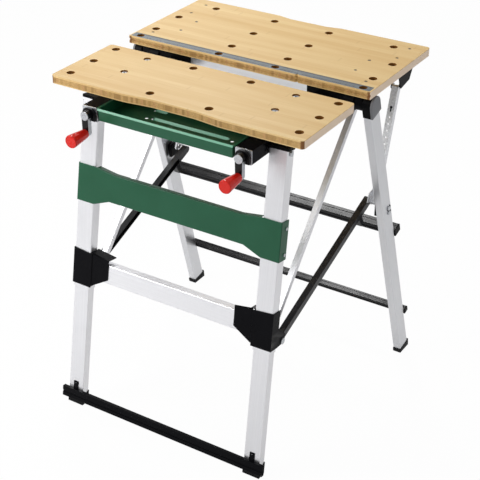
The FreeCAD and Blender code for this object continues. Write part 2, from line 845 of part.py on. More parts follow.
# Tool tray: green pressed sheet between the rails, with hanging front and side edges and slots in its floor.
tray_front = -s.tray_overhang
tray_back = tray_front + s.tray_depth
tray_top = -s.tray_rim_drop
tray_low = tray_top - s.tray_height
floor_top = tray_top - s.tray_floor_drop
sheet_in = tray_side - s.tray_sheet
tray = new_body("tool_tray")
pad(tray, "XY", [box(-tray_side, tray_side, tray_front, tray_back)], tray_low, tray_top)
cut(tray, "XY", [box(-sheet_in, sheet_in, tray_front + s.tray_sheet, tray_back - s.tray_sheet)],
    floor_top, tray_top + s.overrun)
cut(tray, "XY", [box(-sheet_in, sheet_in, tray_front + s.tray_sheet, tray_back + s.overrun)],
    tray_low - s.overrun, floor_top - s.tray_sheet)
rim_in = sheet_in
pad(tray, "XY", [box(rim_in, rail_left, tray_front, tray_back), box(-rail_left, -rim_in, tray_front, tray_back)],
    tray_top - s.tray_sheet, tray_top)
boss_z = floor_top + s.tray_boss_radius
for y in (tray_front + s.tray_boss_inset, tray_back - s.tray_boss_inset):
    pad(tray, "YZ", [circle(y, boss_z, s.tray_boss_radius)], tray_side, rail_left)
    pad(tray, "YZ", [circle(y, boss_z, s.tray_boss_radius)], -rail_left, -tray_side)
left_hole = s.tray_slot_start - s.tray_hole_gap
right_hole = s.tray_slot_end + s.tray_hole_gap
cut(tray, "XY", [
    lying_capsule(s.tray_slot_start, s.tray_slot_end, s.tray_slot_row, s.tray_slot_radius),
    lying_capsule(s.tray_short_slot_start, s.tray_short_slot_end, s.tray_short_slot_row, s.tray_hole_radius),
    circle(left_hole, s.tray_slot_row - s.tray_slot_radius, s.tray_hole_radius),
    circle(right_hole, s.tray_slot_row - s.tray_slot_radius, s.tray_hole_radius),
], floor_top - s.overrun, floor_top + s.overrun)

# Corner pieces: black castings that close the rails and carry the hinge pins of legs and rear jaw.
arm_front = hinge_y - s.arm_front
arm_rear = hinge_y + s.arm_rear
arm_top = s.arm_top - s.hinge_drop
arm_low = -s.hinge_drop - s.arm_bottom
hub_inner = corner_outer_x - s.corner_hub_length
corner_piece = new_body("corner_right")
pad(corner_piece, "YZ", [rounded_box(arm_front, arm_rear, arm_low, arm_top, s.arm_edge_radius)],
    corner_inner_x, corner_outer_x)
pad(corner_piece, "YZ", [circle(hinge_y, -s.hinge_drop, s.corner_hub_radius)], hub_inner, corner_outer_x)
pad(corner_piece, "XZ", [box(rail_left, rail_right, -s.hinge_drop - s.corner_socket_drop,
                             arm_top - s.arm_edge_radius)],
    arm_front, arm_front + s.corner_socket_depth)
cut(corner_piece, "YZ", [circle(hinge_y, -s.hinge_drop, s.corner_pin_radius + s.running_gap)],
    hub_inner, corner_outer_x + s.overrun)
mirrored("corner_left", corner_piece)

cross_tube = new_body("cross_tube")
pad(cross_tube, "YZ", [
    rounded_box(arm_front, arm_rear, arm_low, arm_top, s.arm_edge_radius),
    box(arm_front + s.cross_tube_wall, arm_rear - s.cross_tube_wall,
        arm_low + s.cross_tube_wall, arm_top - s.cross_tube_wall),
], -corner_inner_x, corner_inner_x)

# Hinge pins through the corner piece, the ear of the rear jaw and the knuckle of the rear leg.
pin_end = knuckle_outer_x - s.head_gap
corner_bolts = new_body("corner_bolts")
hinge_pin = circle(hinge_y, -s.hinge_drop, s.corner_pin_radius)
pad(corner_bolts, "YZ", [hinge_pin], hub_inner, pin_end)
pad(corner_bolts, "YZ", [hinge_pin], -pin_end, -hub_inner)

# Rear jaw board: rounded rear corners, square front corners, a vee notch and a groove in the front edge,
# a recess for the rule with four round seats in its row, twelve dog holes and holes for screws.
rear_board = new_body("rear_jaw_board")
vee_left = s.vee_x - s.vee_half_width
vee_right = s.vee_x + s.vee_half_width
pad(rear_board, "XY", [[
    (-half_length, rear_jaw_front),
    (vee_left, rear_jaw_front),
    (s.vee_x, rear_jaw_front + s.vee_depth),
    (vee_right, rear_jaw_front),
    (half_length, rear_jaw_front),
    (half_length, rear_jaw_back - corner),
    (half_length - corner, rear_jaw_back, corner),
    (s.rear_recess_half, rear_jaw_back),
    (s.rear_recess_flat, rear_jaw_back - s.recess_depth),
    (-s.rear_recess_flat, rear_jaw_back - s.recess_depth),
    (-s.rear_recess_half, rear_jaw_back),
    (corner - half_length, rear_jaw_back),
    (-half_length, rear_jaw_back - corner, corner),
]], board_low, 0)
groove_low = (board_low - s.edge_groove_height) / 2
cut(rear_board, "YZ", [box(rear_jaw_front - s.overrun, rear_jaw_front + s.edge_groove_depth,
                           groove_low, groove_low + s.edge_groove_height)],
    -half_length - s.overrun, half_length + s.overrun)
rear_rows = [
    (middle_dog_x, s.rear_third_dog_row), (s.inner_dog_x, s.rear_third_dog_row),
    (s.inner_dog_x, s.rear_second_dog_row), (s.inner_dog_x, s.rear_first_dog_row),
    (outer_dog_x, s.rear_second_dog_row), (outer_dog_x, s.rear_first_dog_row),
]
rear_holes = []
for x, y in rear_rows:
    rear_holes += [circle(x, rear_jaw_front + y, s.dog_hole_radius),
                   circle(-x, rear_jaw_front + y, s.dog_hole_radius)]
cut(rear_board, "XY", rear_holes, board_low - s.overrun, s.overrun)
rule_front = rear_jaw_front + s.rule_setback
rule_back = rule_front + s.rule_width
rule_mid = (rule_front + rule_back) / 2
rule_seats = []
for x in (s.inner_dog_x, rule_dog_x):
    rule_seats += [circle(x, rule_mid, s.dog_hole_radius), circle(-x, rule_mid, s.dog_hole_radius)]
cut(rear_board, "XY", rule_seats, -s.rule_dog_depth, s.overrun)
cut(rear_board, "XY", [box(-rule_half - s.sliding_gap, rule_half + s.sliding_gap,
                           rule_front - s.sliding_gap, rule_back + s.sliding_gap)],
    -s.rule_thickness, s.overrun)
screw_rows = [
    (stay_screw_x, s.stay_screw_front), (stay_screw_x, s.stay_screw_rear),
    (ear_screw_x, s.ear_screw_front), (ear_screw_x, s.ear_screw_rear),
    (hinge_screw_x, s.hinge_screw_row),
]
screw_places = []
for x, y in screw_rows:
    screw_places += [(x, rear_jaw_front + y), (-x, rear_jaw_front + y)]
screw_hole = s.screw_head_radius + s.sliding_gap
cut(rear_board, "XY", [circle(x, y, screw_hole) for x, y in screw_places], -s.screw_hole_depth, s.overrun)

jaw_screws = new_body("jaw_screws")
pad(jaw_screws, "XY", [circle(x, y, s.screw_head_radius) for x, y in screw_places],
    -s.screw_hole_depth, -s.screw_head_sink)

rule_strip = new_body("rule_strip")
rule_notch_left = (vee_left - s.sliding_gap, rule_front)
rule_notch_right = (vee_right + s.sliding_gap, rule_front)
pad(rule_strip, "XY", [[
    (-rule_half, rule_front),
    rule_notch_left,
    (s.vee_x, rule_front + s.vee_depth),
    rule_notch_right,
    (rule_half, rule_front),
    (rule_half, rule_back),
    (-rule_half, rule_back),
], *rule_seats], -s.rule_thickness, 0)

# Brackets under the rear jaw: a hinge ear on the pin, and a pair of ears beside the brace's upper end.
plate_low = board_low - s.base_plate
base_front = hinge_y + s.base_start
base_back = base_front + s.base_length
brace_outer_x = brace_inner_x + s.brace_width
ear_left = brace_inner_x - s.head_gap - s.brace_ear_sheet
ear_right = brace_outer_x + s.head_gap
bracket = new_body("jaw_bracket_right")
pad(bracket, "XY", [box(base_inner_x, ear_outer_x, base_front, base_back)], plate_low, board_low)
pad(bracket, "YZ", [[
    (hinge_y - s.ear_front, board_low),
    (hinge_y - s.ear_radius, -s.hinge_drop),
    (hinge_y, -s.hinge_drop - s.ear_radius, s.ear_radius),
    (hinge_y + s.ear_radius, -s.hinge_drop, s.ear_radius),
    (hinge_y + s.ear_reach, plate_low),
    (hinge_y + s.ear_reach, board_low),
]], ear_inner_x, ear_outer_x)
ear_outline = [
    (brace_y + s.brace_ear_radius, -s.hinge_drop),
    (brace_y + s.brace_ear_foot, plate_low),
    (brace_y - s.brace_ear_foot, plate_low),
    (brace_y - s.brace_ear_radius, -s.hinge_drop),
    (brace_y, -s.hinge_drop - s.brace_ear_radius, s.brace_ear_radius),
    (brace_y + s.brace_ear_radius, -s.hinge_drop, s.brace_ear_radius),
]
ear_outline = ear_outline[1:]
pad(bracket, "YZ", [ear_outline], ear_left, ear_left + s.brace_ear_sheet)
pad(bracket, "YZ", [ear_outline], ear_right, ear_right + s.brace_ear_sheet)
pad(bracket, "YZ", [circle(brace_y, -s.hinge_drop, s.brace_pin_radius)],
    ear_left - s.brace_pin_head, ear_left)
pad(bracket, "YZ", [circle(brace_y, -s.hinge_drop, s.brace_pin_radius)],
    ear_right + s.brace_ear_sheet, ear_right + s.brace_ear_sheet + s.brace_pin_head)
cut(bracket, "YZ", [circle(hinge_y, -s.hinge_drop, s.corner_pin_radius + s.running_gap)],
    ear_inner_x - s.overrun, ear_outer_x + s.overrun)
mirrored("jaw_bracket_left", bracket)

# Stay brackets: black side plates with a flange under the jaw and the pin of the stay.
plate_inner = stay_plate_outer_x - s.stay_plate_sheet
stay_front = hinge_y + s.stay_plate_front
stay_back = stay_front + s.stay_plate_length
shoulder_z = board_low - s.stay_plate_shoulder_drop
stay_bracket = new_body("stay_bracket_right")
pad(stay_bracket, "YZ", [[
    (stay_front, board_low),
    (stay_y - s.stay_end_radius, stay_z),
    (stay_y, stay_z - s.stay_end_radius, s.stay_end_radius),
    (stay_back - s.stay_plate_toe_in, stay_z + s.sliding_gap * 5),
    (stay_back - s.stay_plate_shoulder_in, shoulder_z),
    (stay_back, board_low),
]], plate_inner, stay_plate_outer_x)
pad(stay_bracket, "XY", [box(stay_plate_outer_x - s.stay_flange_width, stay_plate_outer_x,
                             stay_front, stay_back)], plate_low, board_low)
pad(stay_bracket, "YZ", [circle(stay_y, stay_z, s.stay_pin_radius)], stay_inner_x - s.head_gap, plate_inner)
pad(stay_bracket, "YZ", [circle(stay_y, stay_z, s.stay_pin_head_radius)],
    stay_inner_x - s.head_gap - s.stay_pin_head, stay_inner_x - s.head_gap)
mirrored("stay_bracket_left", stay_bracket)

# Upper front legs: aluminium box section, leaning and splayed, with the fold bolt's hole near the top.
leg_half = s.upper_leg_width / 2
leg_front = -s.upper_leg_front
leg_back = s.upper_leg_depth - s.upper_leg_front
upper_low = s.upper_leg_top - s.upper_leg_length
upper_leg = front_leg_body("upper_leg_right")
pad(upper_leg, "XY", [
    rounded_box(-leg_half, leg_half, leg_front, leg_back, s.leg_edge_radius),
    box(s.leg_wall - leg_half, leg_half - s.leg_wall, leg_front + s.leg_wall, leg_back - s.leg_wall),
], upper_low, s.upper_leg_top)
cut(upper_leg, "YZ", [circle(0, 0, s.fold_bolt_radius + s.splay_gap)], -leg_half - s.overrun, leg_half + s.overrun)
mirrored("upper_leg_left", upper_leg)

cap_low = s.upper_leg_top - s.cap_skirt
cap_high = s.upper_leg_top + s.cap_top
leg_cap = front_leg_body("leg_cap_right")
pad(leg_cap, "XY", [rounded_box(-leg_half - s.cap_wall, leg_half + s.cap_wall, leg_front - s.cap_wall,
                                leg_back + s.cap_wall, s.leg_edge_radius)], cap_low, cap_high)
cut(leg_cap, "XY", [rounded_box(-leg_half, leg_half, leg_front, leg_back, s.leg_edge_radius)],
    cap_low - s.overrun, s.upper_leg_top)
mirrored("leg_cap_left", leg_cap)

# Lower front legs: a smaller box section that slides up inside the upper one and ends in the foot.
lower_half = s.lower_leg_width / 2
leg_centre = (leg_front + leg_back) / 2
lower_front = leg_centre - s.lower_leg_depth / 2
lower_back = leg_centre + s.lower_leg_depth / 2
ground_drop = (s.table_height - s.fold_drop) / front_cos
tan_front = front_sin / front_cos
lower_low = s.foot_base - ground_drop
lower_leg = front_leg_body("lower_leg_right")
pad(lower_leg, "XY", [
    rounded_box(-lower_half, lower_half, lower_front, lower_back, s.leg_edge_radius / 2),
    box(s.leg_wall - lower_half, lower_half - s.leg_wall, lower_front + s.leg_wall, lower_back - s.leg_wall),
], lower_low + s.splay_gap, -lower_leg_start)
mirrored("lower_leg_left", lower_leg)


def front_leg_at(low):
    """Middle of the right front leg at a height along the leg."""
    return front_leg_x - low * front_slope


def ground_at(depth):
    """Height of the floor in the front frame, at a depth behind the fold bolt."""
    return depth * tan_front - ground_drop


# Front feet: black shoes, open at the front, with cheeks that rise to the rear and a flat sole.
foot_half = lower_half + s.foot_wall
foot_back = lower_back + s.foot_wall
foot_low = -ground_drop - s.overrun
foot_high = s.foot_rear_height - ground_drop
foot = front_body("front_foot_right")
pad(foot, "XZ", [[
    (front_leg_at(foot_low) - foot_half, foot_low),
    (front_leg_at(foot_low) + foot_half, foot_low),
    (front_leg_at(foot_high) + foot_half, foot_high),
    (front_leg_at(foot_high) - foot_half, foot_high),
]], lower_front, foot_back)
socket_half = lower_half + s.running_gap
cut(foot, "XZ", [[
    (front_leg_at(lower_low) - socket_half, lower_low),
    (front_leg_at(lower_low) + socket_half, lower_low),
    (front_leg_at(foot_high + s.overrun) + socket_half, foot_high + s.overrun),
    (front_leg_at(foot_high + s.overrun) - socket_half, foot_high + s.overrun),
]], lower_front - s.overrun, lower_back)
foot_side_low = front_leg_x - foot_half - s.overrun
foot_side_high = front_leg_at(foot_low) + foot_half + s.overrun
cut(foot, "YZ", [[
    (lower_front - s.overrun, ground_at(lower_front - s.overrun)),
    (lower_front - s.overrun, foot_low - s.overrun),
    (foot_back + s.overrun, foot_low - s.overrun),
    (foot_back + s.overrun, ground_at(foot_back + s.overrun)),
]], foot_side_low, foot_side_high)
cheek_front = s.foot_front_height - ground_drop
cut(foot, "YZ", [[
    (lower_front - s.overrun, cheek_front),
    (lower_front, cheek_front),
    (lower_back, foot_high),
    (lower_back, foot_high + s.overrun),
    (lower_front - s.overrun, foot_high + s.overrun),
]], foot_side_low, foot_side_high)
mirrored("front_foot_left", foot)

# Foot bar: black grooved box section across the fronts of both lower legs, with a tab up each leg.
bar_front = lower_front - s.foot_bar_depth
bar_high = s.foot_bar_rise - ground_drop
bar_low = bar_high - s.foot_bar_height
groove_mid = (bar_high + bar_low) / 2
bar_r = s.foot_bar_edge_radius
foot_bar = front_body("foot_bar")
pad(foot_bar, "YZ", [[
    (lower_front, bar_low),
    (lower_front, bar_high),
    (bar_front + bar_r, bar_high),
    (bar_front, bar_high - bar_r, bar_r),
    (bar_front, groove_mid + s.foot_bar_groove / 2),
    (bar_front + s.foot_bar_groove_depth, groove_mid + s.foot_bar_groove / 2),
    (bar_front + s.foot_bar_groove_depth, groove_mid - s.foot_bar_groove / 2),
    (bar_front, groove_mid - s.foot_bar_groove / 2),
    (bar_front, bar_low + bar_r),
    (bar_front + bar_r, bar_low, bar_r),
], box(bar_front + s.foot_bar_wall + s.foot_bar_groove_depth, lower_front - s.foot_bar_wall,
       bar_low + s.foot_bar_wall, bar_high - s.foot_bar_wall)],
    -foot_bar_half, foot_bar_half)
tab_x = front_leg_at(bar_high)
tab_outlines = [box(tab_x - s.foot_tab_width / 2, tab_x + s.foot_tab_width / 2,
                    bar_high - s.foot_bar_wall, bar_high + s.foot_tab_height),
                box(-tab_x - s.foot_tab_width / 2, s.foot_tab_width / 2 - tab_x,
                    bar_high - s.foot_bar_wall, bar_high + s.foot_tab_height)]
pad(foot_bar, "XZ", tab_outlines, lower_front - s.foot_tab_thickness, lower_front)

# Leg brackets: black sheet folded round the upper leg, with a wing in front of the crossbar,
# a lip over it, and two lugs behind the leg for the pin of brace and strut.
plate_front = leg_front - s.bracket_sheet
wing_rear = leg_front + s.bracket_wing_setback
wing_front = wing_rear - s.bracket_sheet
cheek_outer = leg_half + s.bracket_sheet
lug_back = s.bracket_lug_depth
wing_end = -s.bracket_wing_reach
wing_root = -s.bracket_wing_root
bracket_high = -bracket_top
bracket_low = -bracket_bottom


def leg_bracket(label, lip_reach, kept):
    body = front_leg_body(label, kept)
    pad(body, "XY", [[
        (cheek_outer, plate_front),
        (cheek_outer, lug_back),
        (leg_half, lug_back),
        (leg_half, leg_front),
        (-leg_half, leg_front),
        (-leg_half, lug_back),
        (-cheek_outer, lug_back),
        (-cheek_outer, leg_front),
        (wing_root, leg_front),
        (wing_root - s.bracket_wing_setback, wing_rear),
        (wing_end, wing_rear),
        (wing_end, wing_front),
        (wing_root - s.bracket_wing_setback, wing_front),
        (wing_root, plate_front),
    ]], bracket_low, bracket_high)
    cut(body, "XZ", [[
        (cheek_outer + s.overrun, bracket_high),
        (cheek_outer, bracket_high),
        (wing_end, bracket_high - s.bracket_top_fall),
        (wing_end - s.overrun, bracket_high - s.bracket_top_fall),
        (wing_end - s.overrun, bracket_high + s.overrun),
        (cheek_outer + s.overrun, bracket_high + s.overrun),
    ]], plate_front - s.overrun, lug_back + s.overrun)
    cut(body, "YZ", [[
        (s.bracket_lug_top_depth, bracket_high + s.overrun),
        (s.bracket_lug_top_depth, bracket_high),
        (lug_back, -bracket_lug_low),
        (s.bracket_tail_depth, -bracket_tail_low),
        (leg_back, bracket_low),
        (leg_back, bracket_low - s.overrun),
        (lug_back + s.overrun, bracket_low - s.overrun),
        (lug_back + s.overrun, bracket_high + s.overrun),
    ]], wing_root, cheek_outer + s.overrun)
    cut(body, "XZ", [[
        (wing_end - s.overrun, -bracket_wing_foot),
        (wing_end, -bracket_wing_foot),
        (wing_root, -bracket_wing_root_foot),
        (wing_root, bracket_low - s.overrun),
        (wing_end - s.overrun, bracket_low - s.overrun),
    ]], plate_front - s.overrun, wing_rear + s.overrun)
    lip_low = bracket_high - s.bracket_top_fall - s.bracket_sheet
    pad(body, "XY", [box(-lip_reach, -leg_half, wing_rear, wing_rear + s.bracket_lip_depth)],
        lip_low, lip_low + s.bracket_sheet)
    cut(body, "YZ", [circle(s.link_pin_depth, -link_pin_low, s.link_pin_radius + s.splay_gap)],
        -cheek_outer - s.overrun, cheek_outer + s.overrun)
    return body


leg_bracket("slide_bracket_right", s.bracket_short_lip, True)
left_master = leg_bracket("slide_bracket_long_lip", s.bracket_wing_reach, False)
mirrored("slide_bracket_left", left_master)

# Silver crossbar between the brackets: aluminium box section behind their wings.
crossbar_high = -crossbar_top
crossbar_low = crossbar_high - s.crossbar_height
crossbar_half = front_leg_at(crossbar_high) - cheek_outer - s.sliding_gap
crossbar_wall = s.crossbar_wall
front_crossbar = front_body("front_crossbar")
pad(front_crossbar, "YZ", [
    rounded_box(wing_rear, wing_rear + s.crossbar_depth, crossbar_low, crossbar_high, s.crossbar_edge_radius),
    box(wing_rear + crossbar_wall, wing_rear + s.crossbar_depth - crossbar_wall,
        crossbar_low + crossbar_wall, crossbar_high - crossbar_wall),
], -crossbar_half, crossbar_half)

# Cross panel: green sheet across both legs, taller at its ends, with side flanges round the legs
# and folded upper and lower edges.
end_high = -s.panel_end_top
end_low = -s.panel_end_bottom
panel_high = -s.panel_top
panel_low = -s.panel_bottom
panel_front = leg_front - s.panel_sheet
outer_high = front_leg_at(end_high) + leg_half + s.panel_sheet + s.running_gap
outer_low = front_leg_at(end_low) + leg_half + s.panel_sheet + s.running_gap
panel = front_body("cross_panel")
pad(panel, "XZ", [[
    (-panel_bottom_taper_start, panel_low),
    (panel_bottom_taper_start, panel_low),
    (panel_bottom_taper_end, end_low),
    (outer_low, end_low),
    (outer_high, end_high),
    (panel_top_taper_end, end_high),
    (panel_top_taper_start, panel_high),
    (-panel_top_taper_start, panel_high),
    (-panel_top_taper_end, end_high),
    (-outer_high, end_high),
    (-outer_low, end_low),
    (-panel_bottom_taper_end, end_low),
]], panel_front, leg_front)
flange_sheet = s.panel_sheet
pad(panel, "XZ", [
    [(outer_low - flange_sheet, end_low), (outer_low, end_low),
     (outer_high, end_high), (outer_high - flange_sheet, end_high)],
    [(-outer_low, end_low), (flange_sheet - outer_low, end_low),
     (flange_sheet - outer_high, end_high), (-outer_high, end_high)],
], leg_front, leg_front + s.panel_side_flange)
pad(panel, "XZ", [
    box(-panel_top_taper_start, panel_top_taper_start, panel_high - flange_sheet, panel_high),
    box(-panel_bottom_taper_start, panel_bottom_taper_start, panel_low, panel_low + flange_sheet),
], leg_front, leg_front + s.panel_edge_flange)

panel_screws = front_body("panel_screws")
for low in (-s.panel_screw_upper, -s.panel_screw_lower):
    seat = front_leg_at(low) + leg_half + s.panel_sheet + s.sliding_gap / 2
    spot = circle(leg_front + s.panel_screw_depth, low, s.panel_screw_radius)
    pad(panel_screws, "YZ", [spot], seat, seat + s.panel_screw_height)
    pad(panel_screws, "YZ", [spot], -seat - s.panel_screw_height, -seat)

# Fold bolts: the top frame turns on them at the tops of the front legs.
inner_face = rail_right - s.rail_wall - s.head_gap
leg_inner = front_leg_x - leg_half
leg_outer = front_leg_x + leg_half + s.head_gap
fold_bolts = new_body("fold_bolts", 0, s.fold_y, -s.fold_drop)
for low, high, radius in (
        (inner_face - s.fold_nut_height, leg_outer, s.fold_bolt_radius),
        (inner_face - s.fold_nut_height, inner_face, s.fold_nut_radius),
        (rail_right + s.head_gap, leg_inner - s.head_gap, s.fold_collar_radius),
        (leg_outer, leg_outer + s.fold_bolt_head, s.fold_bolt_head_radius)):
    pad(fold_bolts, "YZ", [circle(0, 0, radius)], low, high)
    pad(fold_bolts, "YZ", [circle(0, 0, radius)], -high, -low)

# Link pins: the common pins of brace and strut in the lugs of the leg brackets, with spacer collars.
lug_centre = front_leg_at(-link_pin_low)
lug_inner = lug_centre - cheek_outer - s.head_gap
lug_outer = lug_centre + cheek_outer + s.head_gap
strut_outer_x = strut_inner_x + s.strut_width
link_pins = new_body("link_pins", 0, link_y, link_z)
for low, high, radius in (
        (lug_inner, lug_outer, s.link_pin_radius),
        (lug_inner - s.link_pin_head, lug_inner, s.link_pin_collar_radius),
        (lug_outer, lug_outer + s.link_pin_head, s.link_pin_collar_radius),
        (lug_centre - leg_half + s.head_gap, brace_inner_x - s.head_gap, s.link_pin_collar_radius),
        (brace_outer_x + s.head_gap, strut_inner_x - s.head_gap, s.link_pin_collar_radius)):
    pad(link_pins, "YZ", [circle(0, 0, radius)], low, high)
    pad(link_pins, "YZ", [circle(0, 0, radius)], -high, -low)

# Rear legs: flat aluminium box section, leaning back and splayed, cut level above the feet.
rear_half = s.rear_leg_width / 2
rear_depth = s.rear_leg_depth / 2
rear_ground = (s.table_height - s.hinge_drop) / rear_cos
tan_rear = rear_sin / rear_cos


def rear_leg_at(low):
    """Middle of the right rear leg at a height along the leg."""
    return rear_leg_x - low * rear_slope


def rear_floor_at(depth):
    """Height of the floor in the rear frame, at a depth behind the hinge pin."""
    return -rear_ground - depth * tan_rear


rear_low = rear_floor_at(rear_depth)
rear_cut = s.rear_foot_height / rear_cos
rear_leg = new_body("rear_leg_right", rear_leg_x, hinge_y, -s.hinge_drop, s.rear_lean, -s.rear_splay)
pad(rear_leg, "XY", [
    rounded_box(-rear_half, rear_half, -rear_depth, rear_depth, s.rear_leg_edge_radius),
    box(s.leg_wall - rear_half, rear_half - s.leg_wall, s.leg_wall - rear_depth, rear_depth - s.leg_wall),
], rear_low, -s.rear_leg_start)
cut(rear_leg, "YZ", [[
    (-rear_depth - s.overrun, rear_floor_at(-rear_depth - s.overrun) + rear_cut + s.sliding_gap * 2),
    (-rear_depth - s.overrun, rear_low - s.overrun),
    (rear_depth + s.overrun, rear_low - s.overrun),
    (rear_depth + s.overrun, rear_floor_at(rear_depth + s.overrun) + rear_cut + s.sliding_gap * 2),
]], -rear_half - s.overrun, rear_half + s.overrun)
cut(rear_leg, "YZ", [circle(s.stud_depth, -s.stud_low, s.stud_shank_radius + s.splay_gap),
                     circle(s.stud_depth, -s.stud_low - s.stud_spacing, s.stud_shank_radius + s.splay_gap)],
    -rear_half - s.overrun, rear_half + s.overrun)
mirrored("rear_leg_left", rear_leg)

# Leg knuckles: black moulded heads, round over the hinge pin, with a plug down into the leg.
plug_half = rear_half - s.leg_wall - s.splay_gap * 2
plug_depth = rear_depth - s.leg_wall - s.splay_gap
knuckle_low = -s.rear_leg_start + s.sliding_gap * 1.5
plug_low = knuckle_low - s.knuckle_plug
round_r = s.knuckle_radius
knuckle_outline = [
    (round_r, knuckle_low),
    (round_r, 0),
    (0, round_r, round_r),
    (-round_r, 0, round_r),
    (-round_r, knuckle_low),
]
knuckle = rear_body("leg_knuckle_right")
pad(knuckle, "YZ", [knuckle_outline], knuckle_inner_x, knuckle_outer_x)
pad(knuckle, "XZ", [[
    (rear_leg_at(plug_low) - plug_half, plug_low),
    (rear_leg_at(plug_low) + plug_half, plug_low),
    (rear_leg_at(knuckle_low) + plug_half, knuckle_low),
    (rear_leg_at(knuckle_low) - plug_half, knuckle_low),
]], -plug_depth, plug_depth)
cut(knuckle, "YZ", [circle(0, 0, s.corner_pin_radius + s.running_gap)],
    knuckle_inner_x - s.overrun, knuckle_outer_x + s.overrun)
mirrored("leg_knuckle_left", knuckle)

knuckle_cap = rear_body("knuckle_cap_right")
cap_outer_x = knuckle_outer_x + s.knuckle_cap_thickness
pad(knuckle_cap, "YZ", [knuckle_outline], knuckle_outer_x, cap_outer_x)
round_edges(knuckle_cap, s.knuckle_cap_edge,
            lambda b: b.XMin > cap_outer_x.number - s.knuckle_cap_thickness.number / 2)
mirrored("knuckle_cap_left", knuckle_cap)

# Rear feet: black plugs with a level sole under the rear legs.
sole_depth = rear_depth + s.rear_foot_wall
sole_half = rear_half + s.rear_foot_side
sole_low = rear_floor_at(sole_depth)
plug_top = rear_cut - rear_ground + s.rear_foot_plug
rear_foot = rear_body("rear_foot_right")
pad(rear_foot, "YZ", [[
    (-sole_depth, rear_floor_at(-sole_depth)),
    (sole_depth, rear_floor_at(sole_depth)),
    (sole_depth, rear_floor_at(sole_depth) + rear_cut),
    (-sole_depth, rear_floor_at(-sole_depth) + rear_cut),
]], rear_leg_at(-rear_ground) - sole_half, rear_leg_at(-rear_ground) + sole_half)
plug_root = rear_cut / 2 - rear_ground
pad(rear_foot, "XZ", [[
    (rear_leg_at(plug_root) - plug_half, plug_root),
    (rear_leg_at(plug_root) + plug_half, plug_root),
    (rear_leg_at(plug_top) + plug_half, plug_top),
    (rear_leg_at(plug_top) - plug_half, plug_top),
]], -plug_depth / 4, plug_depth / 2)
mirrored("rear_foot_left", rear_foot)

# Rear crossbars: black square section with a groove in each face, on the backs of the rear legs.
bar_half = s.rear_bar_size / 2
bar_mid = rear_depth + bar_half
notch = s.rear_bar_groove / 2
deep = s.rear_bar_groove_depth


def grooved_outline(middle):
    """Square outline about (bar_mid, middle) with a shallow groove in every face."""
    turns = ((1, 0), (0, 1), (-1, 0), (0, -1))
    points = []
    for across, up in turns:
        for out, side in ((bar_half, -bar_half), (bar_half, -notch), (bar_half - deep, -notch),
                          (bar_half - deep, notch), (bar_half, notch)):
            points.append((bar_mid + out * across - side * up, middle + out * up + side * across))
    return points


def rear_crossbar(label, low):
    """A crossbar flush with the outer faces of the rear legs."""
    body = rear_body(label)
    half = rear_leg_at(-low) + rear_half
    inner = bar_half - deep - s.rear_bar_wall / 2
    pad(body, "YZ", [grooved_outline(-low),
                     box(bar_mid - inner, bar_mid + inner, -low - inner, inner - low)], -half, half)
    return body


lower_bar_low = rear_ground - s.lower_bar_rise
rear_crossbar("upper_crossbar", s.upper_bar_low)
rear_crossbar("lower_crossbar", lower_bar_low)

crossbar_plugs = rear_body("crossbar_plugs")
plug_out = bar_half + s.bar_plug_margin
plug_in = bar_half - deep - s.rear_bar_wall / 2
for low in (s.upper_bar_low, lower_bar_low):
    half = rear_leg_at(-low) + rear_half
    head_outline = rounded_box(bar_mid - bar_half, bar_mid + plug_out, -low - plug_out, plug_out - low,
                               s.rear_bar_edge_radius)
    stem_outline = box(bar_mid - plug_in, bar_mid + plug_in, -low - plug_in, plug_in - low)
    pad(crossbar_plugs, "YZ", [head_outline], half, half + s.bar_plug_head)
    pad(crossbar_plugs, "YZ", [head_outline], -half - s.bar_plug_head, -half)
    pad(crossbar_plugs, "YZ", [stem_outline], half - s.bar_plug_depth, half)
    pad(crossbar_plugs, "YZ", [stem_outline], -half, s.bar_plug_depth - half)

# Studs through the rear legs: the stays and struts hook on the inner end of the upper one.
leg_studs = rear_body("leg_studs")
stay_outer_x = stay_inner_x + s.stay_width
stud_inner = rear_leg_at(-s.stud_low) - rear_half - s.head_gap
for low, tip in ((s.stud_low, stay_outer_x + s.head_gap), (s.stud_low + s.stud_spacing, stud_inner - s.stud_head)):
    middle = rear_leg_at(-low)
    inside = middle - rear_half - s.head_gap
    outside = middle + rear_half + s.head_gap
    for start, finish, radius in ((tip, inside, s.stud_radius), (inside, outside, s.stud_shank_radius),
                                  (outside, outside + s.stud_head, s.stud_radius)):
        pad(leg_studs, "YZ", [circle(s.stud_depth, -low, radius)], start, finish)
        pad(leg_studs, "YZ", [circle(s.stud_depth, -low, radius)], -finish, -start)

# Stays: zinc-plated channel, perforated along the web, with a keyhole near the jaw and a hooked plate
# with two holes at the lower end.
stay = new_body("stay_right", stay_inner_x, stay_y, stay_z, -stay_lean)
stay_r = s.stay_end_radius
stay_web = -s.stay_depth / 2
pad(stay, "YZ", [[
    (-stay_r, -stay_length),
    (0, -stay_length - stay_r, stay_r),
    (stay_r, -stay_length, stay_r),
    (stay_r, 0),
    (0, stay_r, stay_r),
    (-stay_r, 0, stay_r),
]], 0, s.stay_width)
cut(stay, "XY", [box(s.stay_sheet, s.stay_width - s.stay_sheet, s.stay_sheet - stay_r, stay_r + s.overrun)],
    -stay_length - stay_r - s.overrun, stay_r + s.overrun)
hook_top = s.stay_hook_start - stay_length
pad(stay, "YZ", [[
    (s.stay_sheet - stay_r, hook_top),
    (-stay_r, hook_top),
    (-stay_r - s.stay_hook_reach, hook_top - s.stay_hook_reach / 2),
    (-stay_r - s.stay_hook_reach, -stay_length),
    (-stay_r, -stay_length),
    (s.stay_sheet - stay_r, -stay_length),
]], 0, s.stay_sheet)
hook_mid = -stay_r - s.stay_hook_reach / 2
